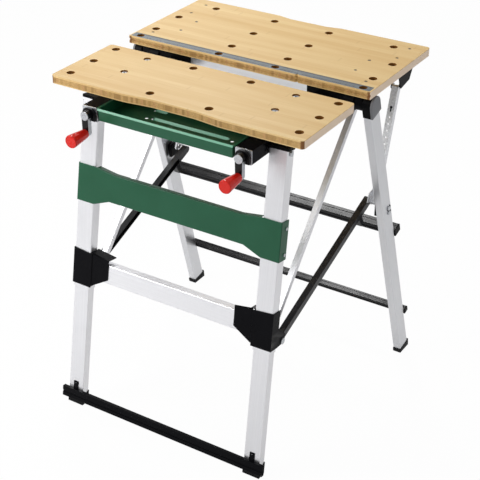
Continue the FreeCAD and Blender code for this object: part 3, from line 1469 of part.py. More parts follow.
cut(stay, "YZ", [circle(hook_mid, hook_top - s.stay_hook_reach * 0.75, s.stay_hole_radius),
                 circle(hook_mid, s.stay_hook_reach / 2 - stay_length, s.stay_hole_radius)],
    -s.overrun, s.stay_sheet + s.overrun)
stay_mid = s.stay_width / 2
web_holes = [circle(stay_mid, -s.stay_hole_start - s.stay_hole_pitch * count, s.stay_hole_radius)
             for count in range(11)]
key = s.stay_key_radius
web_holes.append(circle(stay_mid, -s.stay_key_place, key))
cut(stay, "XZ", web_holes, -stay_r - s.overrun, s.stay_sheet - stay_r + s.sliding_gap)
cut(stay, "XZ", [capsule(stay_mid, -s.stay_key_place - s.stay_key_slot, s.stay_key_slot_radius,
                         -s.stay_key_place)], -stay_r - s.overrun, s.stay_sheet - stay_r + s.sliding_gap)
cut(stay, "YZ", [circle(0, 0, s.stay_pin_radius + s.running_gap),
                 circle(0, -stay_length, s.stay_hook_radius)],
    -s.overrun, s.stay_width + s.overrun)
mirrored("stay_left", stay)

# Braces: silver square tube from the leg bracket up to the rear jaw, with rounded flattened ends.
brace = new_body("brace_right", brace_inner_x, link_y, link_z, -brace_lean)
brace_r = s.brace_width / 2
pad(brace, "YZ", [[
    (brace_r, brace_length),
    (0, brace_length + brace_r, brace_r),
    (-brace_r, brace_length, brace_r),
    (-brace_r, 0),
    (0, -brace_r, brace_r),
    (brace_r, 0, brace_r),
]], 0, s.brace_width)
cut(brace, "XY", [box(s.brace_wall, s.brace_width - s.brace_wall, s.brace_wall - brace_r, brace_r - s.brace_wall)],
    -brace_r - s.overrun, brace_length + brace_r + s.overrun)
cut(brace, "YZ", [circle(0, 0, s.link_pin_radius + s.running_gap),
                  circle(0, brace_length, s.brace_pin_radius)], -s.overrun, s.brace_width + s.overrun)
mirrored("brace_left", brace)

# Struts: black channel, open to the middle of the table, with a moulded handle end and its finger lug.
strut = new_body("strut_right", strut_inner_x, link_y, link_z, -strut_lean)
strut_r = s.strut_depth / 2
handle = s.strut_handle_half
handle_low = strut_length - s.strut_handle + handle
lug_low = strut_length - s.strut_lug_place - s.strut_lug_width / 2
lug_high = lug_low + s.strut_lug_width
pad(strut, "YZ", [[
    (strut_r, handle_low),
    (-strut_r, handle_low),
    (-strut_r, 0),
    (0, -strut_r, strut_r),
    (strut_r, 0, strut_r),
]], 0, s.strut_width)
cut(strut, "XY", [box(-s.overrun, s.strut_width - s.strut_sheet, s.strut_sheet - strut_r, strut_r - s.strut_sheet)],
    -strut_r - s.overrun, handle_low)
pad(strut, "YZ", [[
    (handle, handle_low),
    (handle, strut_length),
    (0, strut_length + handle, handle),
    (-handle, strut_length, handle),
    (-handle, handle_low),
]], 0, s.strut_width)
pad(strut, "YZ", [[
    (strut_r - s.strut_sheet, lug_low),
    (s.strut_lug_reach, lug_low + s.strut_lug_width / 4),
    (s.strut_lug_reach, lug_high),
    (strut_r - s.strut_sheet, lug_high),
]], 0, s.strut_width)
cut(strut, "YZ", [circle(0, 0, s.link_pin_radius + s.running_gap)], -s.overrun, s.strut_width + s.overrun)
mirrored("strut_left", strut)

# Everything is worked out, checked and written.
doc.recompute()
faults = []
for item in doc.Objects:
    if "Invalid" in item.State or "Error" in item.State:
        faults.append(f"{item.Label}: {item.State}")
for before, feature in cuts:
    if not feature.Shape.Volume < before.Shape.Volume:
        faults.append(f"{feature.getParentGeoFeatureGroup().Label}: {feature.Name} cuts nothing")
for piece in pieces:
    if piece.Shape.isNull() or not piece.Shape.isValid():
        faults.append(f"{piece.Label}: no valid shape")
if faults:
    raise RuntimeError("; ".join(faults))

os.makedirs("parts", exist_ok=True)
for piece in pieces:
    piece.Shape.exportStep(f"parts/{piece.Label}.step")
print(f"{len(pieces)} pieces")
for label, spot in (
        ("fold", (s.fold_y, -s.fold_drop)), ("hinge", (hinge_y, -s.hinge_drop)),
        ("link", (link_y, link_z)), ("stud", (stud_y, stud_z)),
        ("brace", (brace_y, -s.hinge_drop)), ("stay", (stay_y, stay_z))):
    place = datum(0, *spot)
    print(label, round(place.y, 4), round(place.z, 4))
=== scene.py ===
import math
import bmesh
import bpy
from mathutils import Matrix, Vector


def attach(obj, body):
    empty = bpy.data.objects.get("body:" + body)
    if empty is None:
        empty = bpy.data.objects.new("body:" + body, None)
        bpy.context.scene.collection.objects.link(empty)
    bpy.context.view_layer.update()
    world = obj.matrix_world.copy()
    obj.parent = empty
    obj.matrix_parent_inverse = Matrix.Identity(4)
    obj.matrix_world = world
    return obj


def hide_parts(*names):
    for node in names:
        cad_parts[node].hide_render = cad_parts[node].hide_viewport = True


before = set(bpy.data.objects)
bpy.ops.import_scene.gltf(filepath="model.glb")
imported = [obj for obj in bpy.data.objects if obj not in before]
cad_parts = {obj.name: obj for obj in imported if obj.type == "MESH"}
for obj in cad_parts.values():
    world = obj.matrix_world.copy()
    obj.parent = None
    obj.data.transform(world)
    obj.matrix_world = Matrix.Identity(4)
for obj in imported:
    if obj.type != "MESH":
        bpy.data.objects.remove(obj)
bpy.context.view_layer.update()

# A folding work table with two clamping jaws. X runs to the right along the jaws, Y to the rear and
# Z up from the floor, in metres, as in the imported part. Sizes below are in millimetres unless they say so.
scene = bpy.context.scene

# Studio. A wide white paper sweep under the table, a large soft box at the front left, weaker ones on the
# right and behind, and an even white surround, as for a catalogue picture. The camera stands where the
# photographer stood: to the front right of the table, well above the jaws, with a long lens.


def linear(code):
    """The linear colour of an sRGB hex value."""
    parts = [int(code[at:at + 2], 16) / 255 for at in (0, 2, 4)]
    return [c / 12.92 if c <= 0.04045 else ((c + 0.055) / 1.055) ** 2.4 for c in parts] + [1.0]


def add(tree, kind, wires=None, **settings):
    """Adds a node with its settings. Wires give each socket, by name or number, a value or an output."""
    made = tree.nodes.new(kind)
    for name, value in settings.items():
        setattr(made, name, value)
    for socket, value in (wires or {}).items():
        if isinstance(value, bpy.types.NodeSocket):
            tree.links.new(value, made.inputs[socket])
        else:
            made.inputs[socket].default_value = value
    return made


scene.view_settings.view_transform = "Standard"

world = bpy.data.worlds.new("white_studio")
world.use_nodes = True
scene.world = world
air = world.node_tree
air.nodes.clear()
# The camera sees the surround fully white, gloss sees less of it, and it lights the table weakly
SURROUND_IN_GLOSS = 0.6
SURROUND_AS_LIGHT = 0.36
path = add(air, "ShaderNodeLightPath")
seen = add(air, "ShaderNodeMath", {0: path.outputs["Is Camera Ray"], 1: path.outputs["Is Transmission Ray"]},
           operation="MAXIMUM")
in_gloss = add(air, "ShaderNodeMath", {0: path.outputs["Is Glossy Ray"], 1: SURROUND_IN_GLOSS},
               operation="MULTIPLY")
shown = add(air, "ShaderNodeMath", {0: seen.outputs[0], 1: in_gloss.outputs[0]}, operation="MAXIMUM")
strength = add(air, "ShaderNodeMath", {0: shown.outputs[0], 1: SURROUND_AS_LIGHT}, operation="MAXIMUM")
surround = add(air, "ShaderNodeBackground", {"Color": linear("FFFFFF"), "Strength": strength.outputs[0]})
add(air, "ShaderNodeOutputWorld", {"Surface": surround.outputs[0]})

paper = bpy.data.materials.new("white_paper_sweep")
paper.use_nodes = True
tree = paper.node_tree
tree.nodes.clear()
# The paper glows for the camera, and less in gloss, so that it comes out white with faint shadows
PAPER_GLOW = 0.97
PAPER_IN_GLOSS = 0.45
PAPER_REACH_METRES = 30.0
matt = add(tree, "ShaderNodeBsdfDiffuse", {"Color": linear("F4F4F4")})
glow = add(tree, "ShaderNodeEmission", {"Color": linear("FFFFFF"), "Strength": 1.0})
path = add(tree, "ShaderNodeLightPath")
in_gloss = add(tree, "ShaderNodeMath", {0: path.outputs["Is Glossy Ray"], 1: PAPER_IN_GLOSS},
               operation="MULTIPLY")
lit = add(tree, "ShaderNodeMath", {0: path.outputs["Is Camera Ray"], 1: in_gloss.outputs[0]},
          operation="MAXIMUM")
share = add(tree, "ShaderNodeMath", {0: lit.outputs[0], 1: PAPER_GLOW}, operation="MULTIPLY")
mixed = add(tree, "ShaderNodeMixShader", {0: share.outputs[0], 1: matt.outputs[0], 2: glow.outputs[0]})
add(tree, "ShaderNodeOutputMaterial", {"Surface": mixed.outputs[0]})

shape = bmesh.new()
bmesh.ops.create_grid(shape, x_segments=1, y_segments=1, size=PAPER_REACH_METRES)
sweep = bpy.data.meshes.new("paper_sweep")
shape.to_mesh(sweep)
shape.free()
sweep.materials.append(paper)
floor = bpy.data.objects.new("paper_sweep", sweep)
scene.collection.objects.link(floor)

# Each lamp's place and its two sides in metres, with its power in watts; all point at the table's middle
LAMP_TARGET = Vector((0.0, 0.0, 0.5))
for name, place, power, width, height in (
        ("key_box", (-1.75, -1.85, 1.65), 48.0, 1.4, 1.4),
        ("fill_box", (3.0, -1.6, 2.0), 12.0, 1.8, 1.8),
        ("rear_box", (-2.8, 2.8, 2.6), 12.0, 2.0, 1.2),
        ("top_box", (-1.0, 1.2, 2.85), 30.0, 0.6, 0.55)):
    lamp = bpy.data.lights.new(name, "AREA")
    lamp.energy = power
    lamp.shape = "RECTANGLE"
    lamp.size = width
    lamp.size_y = height
    lamp_object = bpy.data.objects.new(name, lamp)
    scene.collection.objects.link(lamp_object)
    aim = LAMP_TARGET - Vector(place)
    lamp_object.location = place
    lamp_object.rotation_mode = "QUATERNION"
    lamp_object.rotation_quaternion = aim.to_track_quat("-Z", "Y")

# The place in metres, the turn and the lens were fitted to the photograph's straight edges
camera = bpy.data.cameras.new("camera")
camera.lens = 91.67
camera.sensor_width = 36.0
camera_object = bpy.data.objects.new("camera", camera)
scene.collection.objects.link(camera_object)
camera_object.location = (1.4531, -2.28795, 1.9753)
camera_object.rotation_euler = (math.radians(59.84), 0.0, math.radians(32.13))
scene.camera = camera_object

# Jaw boards. Laminated bamboo, 20 mm thick: two face layers of long strips and a core laid crosswise,
# whose end grain shows in the long edges as brown blocks. Sanded, eased at the edges and lacquered.
MM = 0.001
TABLE_TOP = 873.0
JAW_FRONT = -265.45


def at(x, y, z):
    """A place measured from the front jaw: y from its front edge and z from its top face."""
    return Vector((x, y + JAW_FRONT, z + TABLE_TOP)) * MM


def new_finish(name):
    """A material with one shader, and the object coordinates, in metres, for its pattern."""
    made = bpy.data.materials.new(name)
    made.use_nodes = True
    tree = made.node_tree
    tree.nodes.clear()
    shader = add(tree, "ShaderNodeBsdfPrincipled")
    add(tree, "ShaderNodeOutputMaterial", {"Surface": shader.outputs[0]})
    place = add(tree, "ShaderNodeTexCoord").outputs["Object"]
    return made, tree, shader, place


def bamboo():
    """Lacquered laminated bamboo: pale strips with fine fibres, and brown end grain in the edges."""
    made, tree, shader, place = new_finish("bamboo_lacquered")
    mm = add(tree, "ShaderNodeMapping", {"Vector": place, "Location": (0, 0, -TABLE_TOP),
                                         "Scale": (1000, 1000, 1000)})
    x, y, z = add(tree, "ShaderNodeSeparateXYZ", {0: mm.outputs[0]}).outputs

    # Face strips each have their own tint, and a faint knuckle line at every joint of the cane
    strip_width, knuckle_gap, knuckle_shift = 21.0, 260.0, 2900.0
    row = add(tree, "ShaderNodeMath", {0: y, 1: strip_width}, operation="DIVIDE")
    strip = add(tree, "ShaderNodeMath", {0: row.outputs[0]}, operation="FLOOR")
    tint = add(tree, "ShaderNodeTexWhiteNoise", {"W": strip.outputs[0]}, noise_dimensions="1D")
    tint = tint.outputs["Value"]
    shifted = add(tree, "ShaderNodeMath", {0: tint, 1: knuckle_shift, 2: x}, operation="MULTIPLY_ADD")
    knuckle = add(tree, "ShaderNodeMath", {0: shifted.outputs[0], 1: knuckle_gap}, operation="PINGPONG")
    knuckle = add(tree, "ShaderNodeMapRange", {0: knuckle.outputs[0], 1: 0.6, 2: 3.0, 3: 0.16, 4: 0.0},
                  interpolation_type="SMOOTHSTEP")
    # Fibres are 0.3 mm across in bamboo, drawn 2 mm wide and 150 mm long so that they show
    long_fibres = add(tree, "ShaderNodeMapping", {"Vector": mm.outputs[0], "Scale": (0.007, 0.5, 0.5)})
    fibres = add(tree, "ShaderNodeTexNoise", {"Vector": long_fibres.outputs[0], "Scale": 1.0, "Detail": 4.0,
                                              "Roughness": 0.6})
    wide = add(tree, "ShaderNodeMapping", {"Vector": mm.outputs[0], "Scale": (0.0025, 0.025, 0.025)})
    streaks = add(tree, "ShaderNodeTexNoise", {"Vector": wide.outputs[0], "Scale": 1.0, "Detail": 2.0})
    dark = add(tree, "ShaderNodeMapRange", {0: fibres.outputs[0], 1: 0.38, 2: 0.75, 3: 0.0, 4: 0.3})
    deep = add(tree, "ShaderNodeMapRange", {0: streaks.outputs[0], 1: 0.42, 2: 0.72, 3: 0.0, 4: 0.45})
    face = add(tree, "ShaderNodeMix", {0: tint, 6: linear("E0BC7E"), 7: linear("EACB90")}, data_type="RGBA")
    for amount, code in ((dark, "BE9454"), (deep, "D2A663"), (knuckle, "A4743C")):
        face = add(tree, "ShaderNodeMix", {0: amount.outputs[0], 6: face.outputs[2], 7: linear(code)},
                   data_type="RGBA")

    # Core strips lie across the board and show their end grain in the long edges
    core_width, core_middle, core_half, core_end = 6.5, 11.0, 6.2, 7.4
    column = add(tree, "ShaderNodeMath", {0: x, 1: core_width}, operation="DIVIDE")
    core_strip = add(tree, "ShaderNodeMath", {0: column.outputs[0]}, operation="FLOOR")
    shade = add(tree, "ShaderNodeTexWhiteNoise", {"W": core_strip.outputs[0]}, noise_dimensions="1D")
    shade = shade.outputs["Value"]
    core = add(tree, "ShaderNodeValToRGB", {0: shade})
    for position, code in ((0.0, "8F6630"), (0.35, "B58C4C"), (0.75, "C9A266"), (1.0, "B47D4E")):
        stops = core.color_ramp.elements
        stop = stops[0] if position == 0.0 else stops[-1] if position == 1.0 else stops.new(position)
        stop.color = linear(code)
    spots = add(tree, "ShaderNodeTexNoise", {"Vector": mm.outputs[0], "Scale": 0.45, "Detail": 2.0})
    spotted = add(tree, "ShaderNodeMapRange", {0: spots.outputs[0], 1: 0.42, 2: 0.68, 3: 0.0, 4: 0.55})
    core = add(tree, "ShaderNodeMix", {0: spotted.outputs[0], 6: core.outputs[0], 7: linear("7E5A2C")},
               data_type="RGBA")
    below = add(tree, "ShaderNodeMath", {0: z, 1: core_middle}, operation="ADD")
    below = add(tree, "ShaderNodeMath", {0: below.outputs[0]}, operation="ABSOLUTE")
    inside = add(tree, "ShaderNodeMapRange", {0: below.outputs[0], 1: core_half, 2: core_end, 3: 0.8, 4: 0.0})
    colour = add(tree, "ShaderNodeMix", {0: inside.outputs[0], 6: face.outputs[2], 7: core.outputs[2]},
                 data_type="RGBA")

    # The short ends are cut square and sanded: an even pinkish beige of their own, drawn near white as a
    # painted highlight of the lit end, with a brown band round each corner
    out = add(tree, "ShaderNodeMath", {0: x}, operation="ABSOLUTE").outputs[0]
    under_skin = add(tree, "ShaderNodeMapRange", {0: z, 1: -1.7, 2: -0.9, 3: 1.0, 4: 0.0}).outputs[0]
    for start, stop, code in ((331.5, 333.0, "84582C"), (338.9, 339.5, "F8E0C6")):
        band = add(tree, "ShaderNodeMapRange", {0: out, 1: start, 2: stop})
        band = add(tree, "ShaderNodeMath", {0: band.outputs[0], 1: under_skin}, operation="MULTIPLY")
        colour = add(tree, "ShaderNodeMix", {0: band.outputs[0], 6: colour.outputs[2], 7: linear(code)},
                     data_type="RGBA")
    tree.links.new(colour.outputs[2], shader.inputs["Base Color"])
    rough = add(tree, "ShaderNodeMapRange", {0: fibres.outputs[0], 1: 0.3, 2: 0.8, 3: 0.4, 4: 0.5})
    tree.links.new(rough.outputs[0], shader.inputs["Roughness"])
    relief = add(tree, "ShaderNodeBump", {"Height": fibres.outputs[0], "Strength": 0.2, "Distance": 0.0002})
    tree.links.new(relief.outputs[0], shader.inputs["Normal"])
    shader.inputs["IOR"].default_value = 1.45
    shader.inputs["Specular IOR Level"].default_value = 0.4
    return made


def bored():
    """The walls of bored holes: open fibre ends, brown and rough, without lacquer, made darker still as
    painted shade in the holes.
    """
    made, tree, shader, place = new_finish("bamboo_bored_painted_shade")
    # Fibre bundles are about 1 mm across
    ends = add(tree, "ShaderNodeTexNoise", {"Vector": place, "Scale": 1000.0, "Detail": 3.0})
    colour = add(tree, "ShaderNodeMix", {0: ends.outputs[0], 6: linear("6E4314"), 7: linear("966428")},
                 data_type="RGBA")
    tree.links.new(colour.outputs[2], shader.inputs["Base Color"])
    relief = add(tree, "ShaderNodeBump", {"Height": ends.outputs[0], "Strength": 0.5, "Distance": 0.0003})
    tree.links.new(relief.outputs[0], shader.inputs["Normal"])
    shader.inputs["Roughness"].default_value = 0.75
    shader.inputs["Specular IOR Level"].default_value = 0.2
    return made


def add_piece(name, shape, finish, body, stands_for=(), second=None):
    """Makes an object of a bmesh, with soft shading between its sharp edges, riding on its body."""
    sharp_from = math.radians(38)
    for face in shape.faces:
        face.smooth = True
    for edge in shape.edges:
        edge.smooth = len(edge.link_faces) == 2 and edge.calc_face_angle() < sharp_from
    mesh = bpy.data.meshes.new(name)
    shape.to_mesh(mesh)
    shape.free()
    mesh.materials.append(finish)
    if second:
        mesh.materials.append(second)
    piece = bpy.data.objects.new(name, mesh)
    scene.collection.objects.link(piece)
    soft = piece.modifiers.new("even_faces", "WEIGHTED_NORMAL")
    soft.keep_sharp = True
    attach(piece, body)
    if stands_for:
        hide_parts(*stands_for)


def copied(node):
    """A bmesh of a CAD piece, with its corners merged and its flat faces whole."""
    nearest, flat_to = 0.002 * MM, math.radians(0.5)
    shape = bmesh.new()
    shape.from_mesh(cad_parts[node].data)
    bmesh.ops.remove_doubles(shape, verts=shape.verts, dist=nearest)
    bmesh.ops.dissolve_limit(shape, angle_limit=flat_to, verts=shape.verts, edges=shape.edges)
    return shape


def soften(shape, width, steps=2):
    """Rounds the outward edges of a shape."""
    sharper_than = math.radians(40)
    crests = [edge for edge in shape.edges if len(edge.link_faces) == 2
              and edge.calc_face_angle_signed() > sharper_than]
    bmesh.ops.bevel(shape, geom=crests, offset=width * MM, offset_type="OFFSET", affect="EDGES",
                    segments=steps, profile=0.5, material=-1, clamp_overlap=True)


def eased(node, body, finish, width, steps=2, shape=None):
    """A finished piece for a CAD node, from its own shape, with a small round along its outer edges."""
    shape = shape or copied(node)
    soften(shape, width, steps)
    add_piece(f"{node}_finished", shape, finish, body, [node])


def carve(shape, cutter):
    """Takes the cutter away from the shape, and gives the shape that is left."""
    solids = []
    for name, part in (("blank", shape), ("cutter", cutter)):
        mesh = bpy.data.meshes.new(name)
        part.to_mesh(mesh)
        part.free()
        solids.append(bpy.data.objects.new(name, mesh))
        scene.collection.objects.link(solids[-1])
    blank, tool = solids
    cut = blank.modifiers.new("cut", "BOOLEAN")
    cut.operation = "DIFFERENCE"
    cut.solver = "EXACT"
    cut.use_self = True
    cut.object = tool
    bpy.context.view_layer.update()
    result = bpy.data.meshes.new_from_object(blank.evaluated_get(bpy.context.evaluated_depsgraph_get()))
    left = bmesh.new()
    left.from_mesh(result)
    meshes = [blank.data, tool.data, result]
    for thing in solids:
        bpy.data.objects.remove(thing)
    for mesh in meshes:
        bpy.data.meshes.remove(mesh)
    return left


def cylinder(shape, radius, depth, place, sides=40):
    """Adds a closed cylinder round the upright axis of a place, and gives its corners."""
    return bmesh.ops.create_cone(shape, cap_ends=True, segments=sides, radius1=radius * MM,
                                 radius2=radius * MM, depth=depth * MM, matrix=place)["verts"]


board_finish = bamboo()
bored_shade_finish = bored()
REAR_JAW = 306.5
DOG_RADIUS = 10.0
DOG_COLUMNS = (80.0, 261.0, 309.0, 314.0)
DOG_ROWS = (35.5, 123.0, 211.0, 321.25, REAR_JAW + 74.0, REAR_JAW + 176.5, REAR_JAW + 281.5)
BOLT_SPOTS = [(x, y) for x in (-206.5, 206.5) for y in (107.5, 200.0)]
COUNTERBORE_RADIUS = 9.2
COUNTERBORE_DEPTH = 6.0
WALL_REACH = 0.4
for jaw in ("front_jaw", "rear_jaw"):
    board = copied(f"{jaw}_board")
    if jaw == "front_jaw":
        # Counterbores that let the bolt heads down below the face
        counterbores = bmesh.new()
        for x, y in BOLT_SPOTS:
            cylinder(counterbores, COUNTERBORE_RADIUS, 2 * COUNTERBORE_DEPTH,
                     Matrix.Translation(at(x, y, 0.0)))
        board = carve(board, counterbores)
    soften(board, 1.2, 3)
    # The walls and the floors of the holes take the dark brown: partly real open grain and partly painted
    # shade
    for face in board.faces:
        middle = face.calc_center_median() / MM
        spot = Vector((abs(middle.x), middle.y - JAW_FRONT))
        near = any((spot - Vector((x, y))).length < DOG_RADIUS + WALL_REACH for x in DOG_COLUMNS
                   for y in DOG_ROWS)
        near = near or any((spot - Vector((abs(x), y))).length < COUNTERBORE_RADIUS + WALL_REACH
                           for x, y in BOLT_SPOTS)
        is_wall = abs(face.normal.z) < 0.5
        is_floor = face.normal.z > 0.5 and middle.z < TABLE_TOP - 1.5
        if near and (is_wall or is_floor):
            face.material_index = 1
    add_piece(f"{jaw}_board_finished", board, board_finish, jaw, [f"{jaw}_board"], bored_shade_finish)


# Rule. A grey anodised aluminium strip let into the front of the rear jaw, printed in black with
# millimetre marks along its rear edge and a number at every centimetre.
RULE_FRONT = 308.5
RULE_BACK = 334.0
RULE_SEATS = (-314.0, -80.0, 80.0, 314.0)
VEE_PLACE = 147.0


def anodised(name, code, turn, rough=0.34):
    """Satin aluminium extrusion: a soft white sheen with faint drawing lines along the profile."""
    made, tree, shader, place = new_finish(name)
    # Drawing lines are a few hundredths of a millimetre, drawn 1 mm apart and 400 mm long so that they show
    along = add(tree, "ShaderNodeMapping", {"Vector": place, "Rotation": turn})
    lines = add(tree, "ShaderNodeMapping", {"Vector": along.outputs[0], "Scale": (900, 900, 2.5)})
    drawn = add(tree, "ShaderNodeTexNoise", {"Vector": lines.outputs[0], "Scale": 1.0, "Detail": 3.0})
    drawn = drawn.outputs[0]
    clouds = add(tree, "ShaderNodeTexNoise", {"Vector": along.outputs[0], "Scale": 9.0, "Detail": 2.0})
    clouds = clouds.outputs[0]
    tone = add(tree, "ShaderNodeMapRange", {0: drawn, 1: 0.3, 2: 0.7, 3: 0.0, 4: 0.12}).outputs[0]
    colour = add(tree, "ShaderNodeMix", {0: tone, 6: linear(code), 7: linear("9C9CA2")}, data_type="RGBA")
    tree.links.new(colour.outputs[2], shader.inputs["Base Color"])
    spread = add(tree, "ShaderNodeMapRange", {0: clouds, 1: 0.3, 2: 0.7, 3: rough - 0.04, 4: rough + 0.06})
    tree.links.new(spread.outputs[0], shader.inputs["Roughness"])
    relief = add(tree, "ShaderNodeBump", {"Height": drawn, "Strength": 0.12, "Distance": 0.0001})
    tree.links.new(relief.outputs[0], shader.inputs["Normal"])
    shader.inputs["Metallic"].default_value = 1.0
    return made


ALONG_X = (0.0, math.radians(90.0), 0.0)
rule_finish = anodised("aluminium_anodised_grey", "666B6D", ALONG_X, 0.5)
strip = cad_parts["rule_strip"]
strip.data.materials.clear()
strip.data.materials.append(rule_finish)

# Printed ink, matt black and worn thin in fine specks
ink, tree, shader, place = new_finish("rule_ink_black")
speck = add(tree, "ShaderNodeTexNoise", {"Vector": place, "Scale": 600.0}).outputs[0]
worn = add(tree, "ShaderNodeMapRange", {0: speck, 1: 0.3, 2: 0.7, 3: 0.0, 4: 1.0})
colour = add(tree, "ShaderNodeMix", {0: worn.outputs[0], 6: linear("0B0C0D"), 7: linear("1B1C1E")},
             data_type="RGBA")
tree.links.new(colour.outputs[2], shader.inputs["Base Color"])
shader.inputs["Roughness"].default_value = 0.5

# Marks run back from the rear edge; round the dog holes they are cut short and the numbers left out
INK_LIFT = 0.05
MARK_BACK = RULE_BACK - 0.6
LAST_MARK = 330
LONG_MARK, MIDDLE_MARK, SHORT_MARK, SHORTEST_MARK = 10.0, 7.5, 5.0, 2.0
WIDE_HALF, NARROW_HALF = 0.4, 0.26
marks = bmesh.new()
for step in range(-LAST_MARK, LAST_MARK + 1):
    reach = LONG_MARK if step % 10 == 0 else MIDDLE_MARK if step % 5 == 0 else SHORT_MARK
    if any(abs(step - seat) < DOG_RADIUS + 1.5 for seat in RULE_SEATS):
        reach = SHORTEST_MARK
    half = WIDE_HALF if step % 10 == 0 else NARROW_HALF
    marks.faces.new([marks.verts.new(at(step + dx, y, INK_LIFT)) for dx, y in
                     ((-half, MARK_BACK - reach), (half, MARK_BACK - reach), (half, MARK_BACK),
                      (-half, MARK_BACK))])
NUMBER_SIZE = 9.0
NUMBER_BOLDER = 0.25
for count, step in enumerate(range(10 - LAST_MARK, LAST_MARK + 1, 10)):
    if any(abs(step - seat) < DOG_RADIUS + 6 for seat in RULE_SEATS) or abs(step - VEE_PLACE) < 5:
        continue
    label = bpy.data.curves.new("rule_number", "FONT")
    label.body = str(count + 1)
    label.size = NUMBER_SIZE * MM
    label.offset = NUMBER_BOLDER * MM
    label.align_x = "CENTER"
    holder = bpy.data.objects.new("rule_number", label)
    scene.collection.objects.link(holder)
    bpy.context.view_layer.update()
    flat = bpy.data.meshes.new_from_object(holder.evaluated_get(bpy.context.evaluated_depsgraph_get()))
    flat.transform(Matrix.Translation(at(step, RULE_FRONT + 3.5, INK_LIFT)))
    marks.from_mesh(flat)
    bpy.data.objects.remove(holder)
    bpy.data.curves.remove(label)
    bpy.data.meshes.remove(flat)
add_piece("rule_marks", marks, ink, "rear_jaw")

# Jaw bolts and jaw screws. Zinc-plated: four button-head bolts with a hexagon socket hold the front jaw
# to its carriers, with a nut beneath, and ten cross-recessed screws hold the rear jaw's brackets.


def zinc(name, code, rough=0.3):
    """Zinc-plated steel: bluish grey with a faint cloudy spangle."""
    made, tree, shader, place = new_finish(name)
    # Plating clouds are about 4 mm across
    clouds = add(tree, "ShaderNodeTexNoise", {"Vector": place, "Scale": 250.0, "Detail": 3.0}).outputs[0]
    tone = add(tree, "ShaderNodeMapRange", {0: clouds, 1: 0.35, 2: 0.7, 3: 0.0, 4: 0.35})
    colour = add(tree, "ShaderNodeMix", {0: tone.outputs[0], 6: linear(code), 7: linear("8F9296")},
                 data_type="RGBA")
    tree.links.new(colour.outputs[2], shader.inputs["Base Color"])
    spread = add(tree, "ShaderNodeMapRange", {0: clouds, 1: 0.3, 2: 0.7, 3: rough - 0.06, 4: rough + 0.1})
    tree.links.new(spread.outputs[0], shader.inputs["Roughness"])
    shader.inputs["Metallic"].default_value = 1.0
    return made


zinc_finish = zinc("steel_zinc_plated", "C4C7CB")


def corners_of(grown):
    """The new corners among what an extrusion gives."""
    return [item for item in grown if isinstance(item, bmesh.types.BMVert)]


def turned(shape, middle, direction, profile, sides):
    """Adds a turned form about a line: the profile gives its radius at distances along it."""
    radius, distance = profile[0]
    ring = bmesh.ops.create_circle(shape, cap_ends=False, segments=sides, radius=radius * MM)["verts"]
    spin = Vector(direction).to_track_quat("Z", "Y").to_matrix().to_4x4()
    bmesh.ops.translate(shape, verts=ring, vec=(0, 0, distance * MM))
    made = list(ring)
    edges = list({edge for vert in ring for edge in vert.link_edges})
    first = bmesh.ops.edgeloop_fill(shape, edges=edges)["faces"]
    for face in first:
        if face.normal.dot(Vector((0, 0, 1))) > 0:
            face.normal_flip()
    for before, there in zip(profile, profile[1:]):
        grown = bmesh.ops.extrude_edge_only(shape, edges=edges)["geom"]
        ring = corners_of(grown)
        edges = [item for item in grown if isinstance(item, bmesh.types.BMEdge)
                 and all(vert in ring for vert in item.verts)]
        scale = there[0] / before[0]
        bmesh.ops.scale(shape, verts=ring, vec=(scale, scale, 1.0))
        bmesh.ops.translate(shape, verts=ring, vec=(0, 0, (there[1] - before[1]) * MM))
        made += ring
    bmesh.ops.edgeloop_fill(shape, edges=edges)
    bmesh.ops.transform(shape, matrix=Matrix.Translation(middle) @ spin, verts=made)
    faces = list({face for vert in made for face in vert.link_faces})
    bmesh.ops.recalc_face_normals(shape, faces=faces)


def block(shape, size, turn=Matrix.Identity(3), middle=(0, 0, 0)):
    """Adds a box of a size in millimetres, turned and then moved to its middle, and gives its corners."""
    made = bmesh.ops.create_cube(shape, size=MM)["verts"]
    bmesh.ops.scale(shape, verts=made, vec=size)
    bmesh.ops.rotate(shape, verts=made, cent=(0, 0, 0), matrix=turn)
    bmesh.ops.translate(shape, verts=made, vec=middle)
    return made


def repeat(single, places):
    """One bmesh that holds a copy of a small part, made at the origin, at each place."""
    part = bpy.data.meshes.new("part")
    single.to_mesh(part)
    single.free()
    together = bmesh.new()
    for place in places:
        copy = part.copy()
        copy.transform(place)
        together.from_mesh(copy)
        bpy.data.meshes.remove(copy)
    bpy.data.meshes.remove(part)
    return together


UP = Vector((0, 0, 1))
HEXAGON_RADIUS = 2.9
bolt = bmesh.new()
turned(bolt, (0, 0, 0), UP, [(4.0, -30.0), (4.0, -6.0), (8.4, -6.0), (8.4, -4.6), (7.8, -3.6), (6.6, -3.0),
                             (5.2, -2.8)], 40)
hexagon = bmesh.new()
cylinder(hexagon, HEXAGON_RADIUS, 5.0, Matrix.Translation((0, 0, -3.0 * MM)), 6)
bolt = carve(bolt, hexagon)
turned(bolt, (0, 0, 0), UP, [(6.4, -29.9), (7.0, -29.4), (7.0, -24.7), (6.4, -24.2)], 6)
bolts = repeat(bolt, [Matrix.Translation(at(x, y, 0)) for x, y in BOLT_SPOTS])
add_piece("jaw_bolts_finished", bolts, zinc_finish, "front_jaw", ["jaw_bolts"])

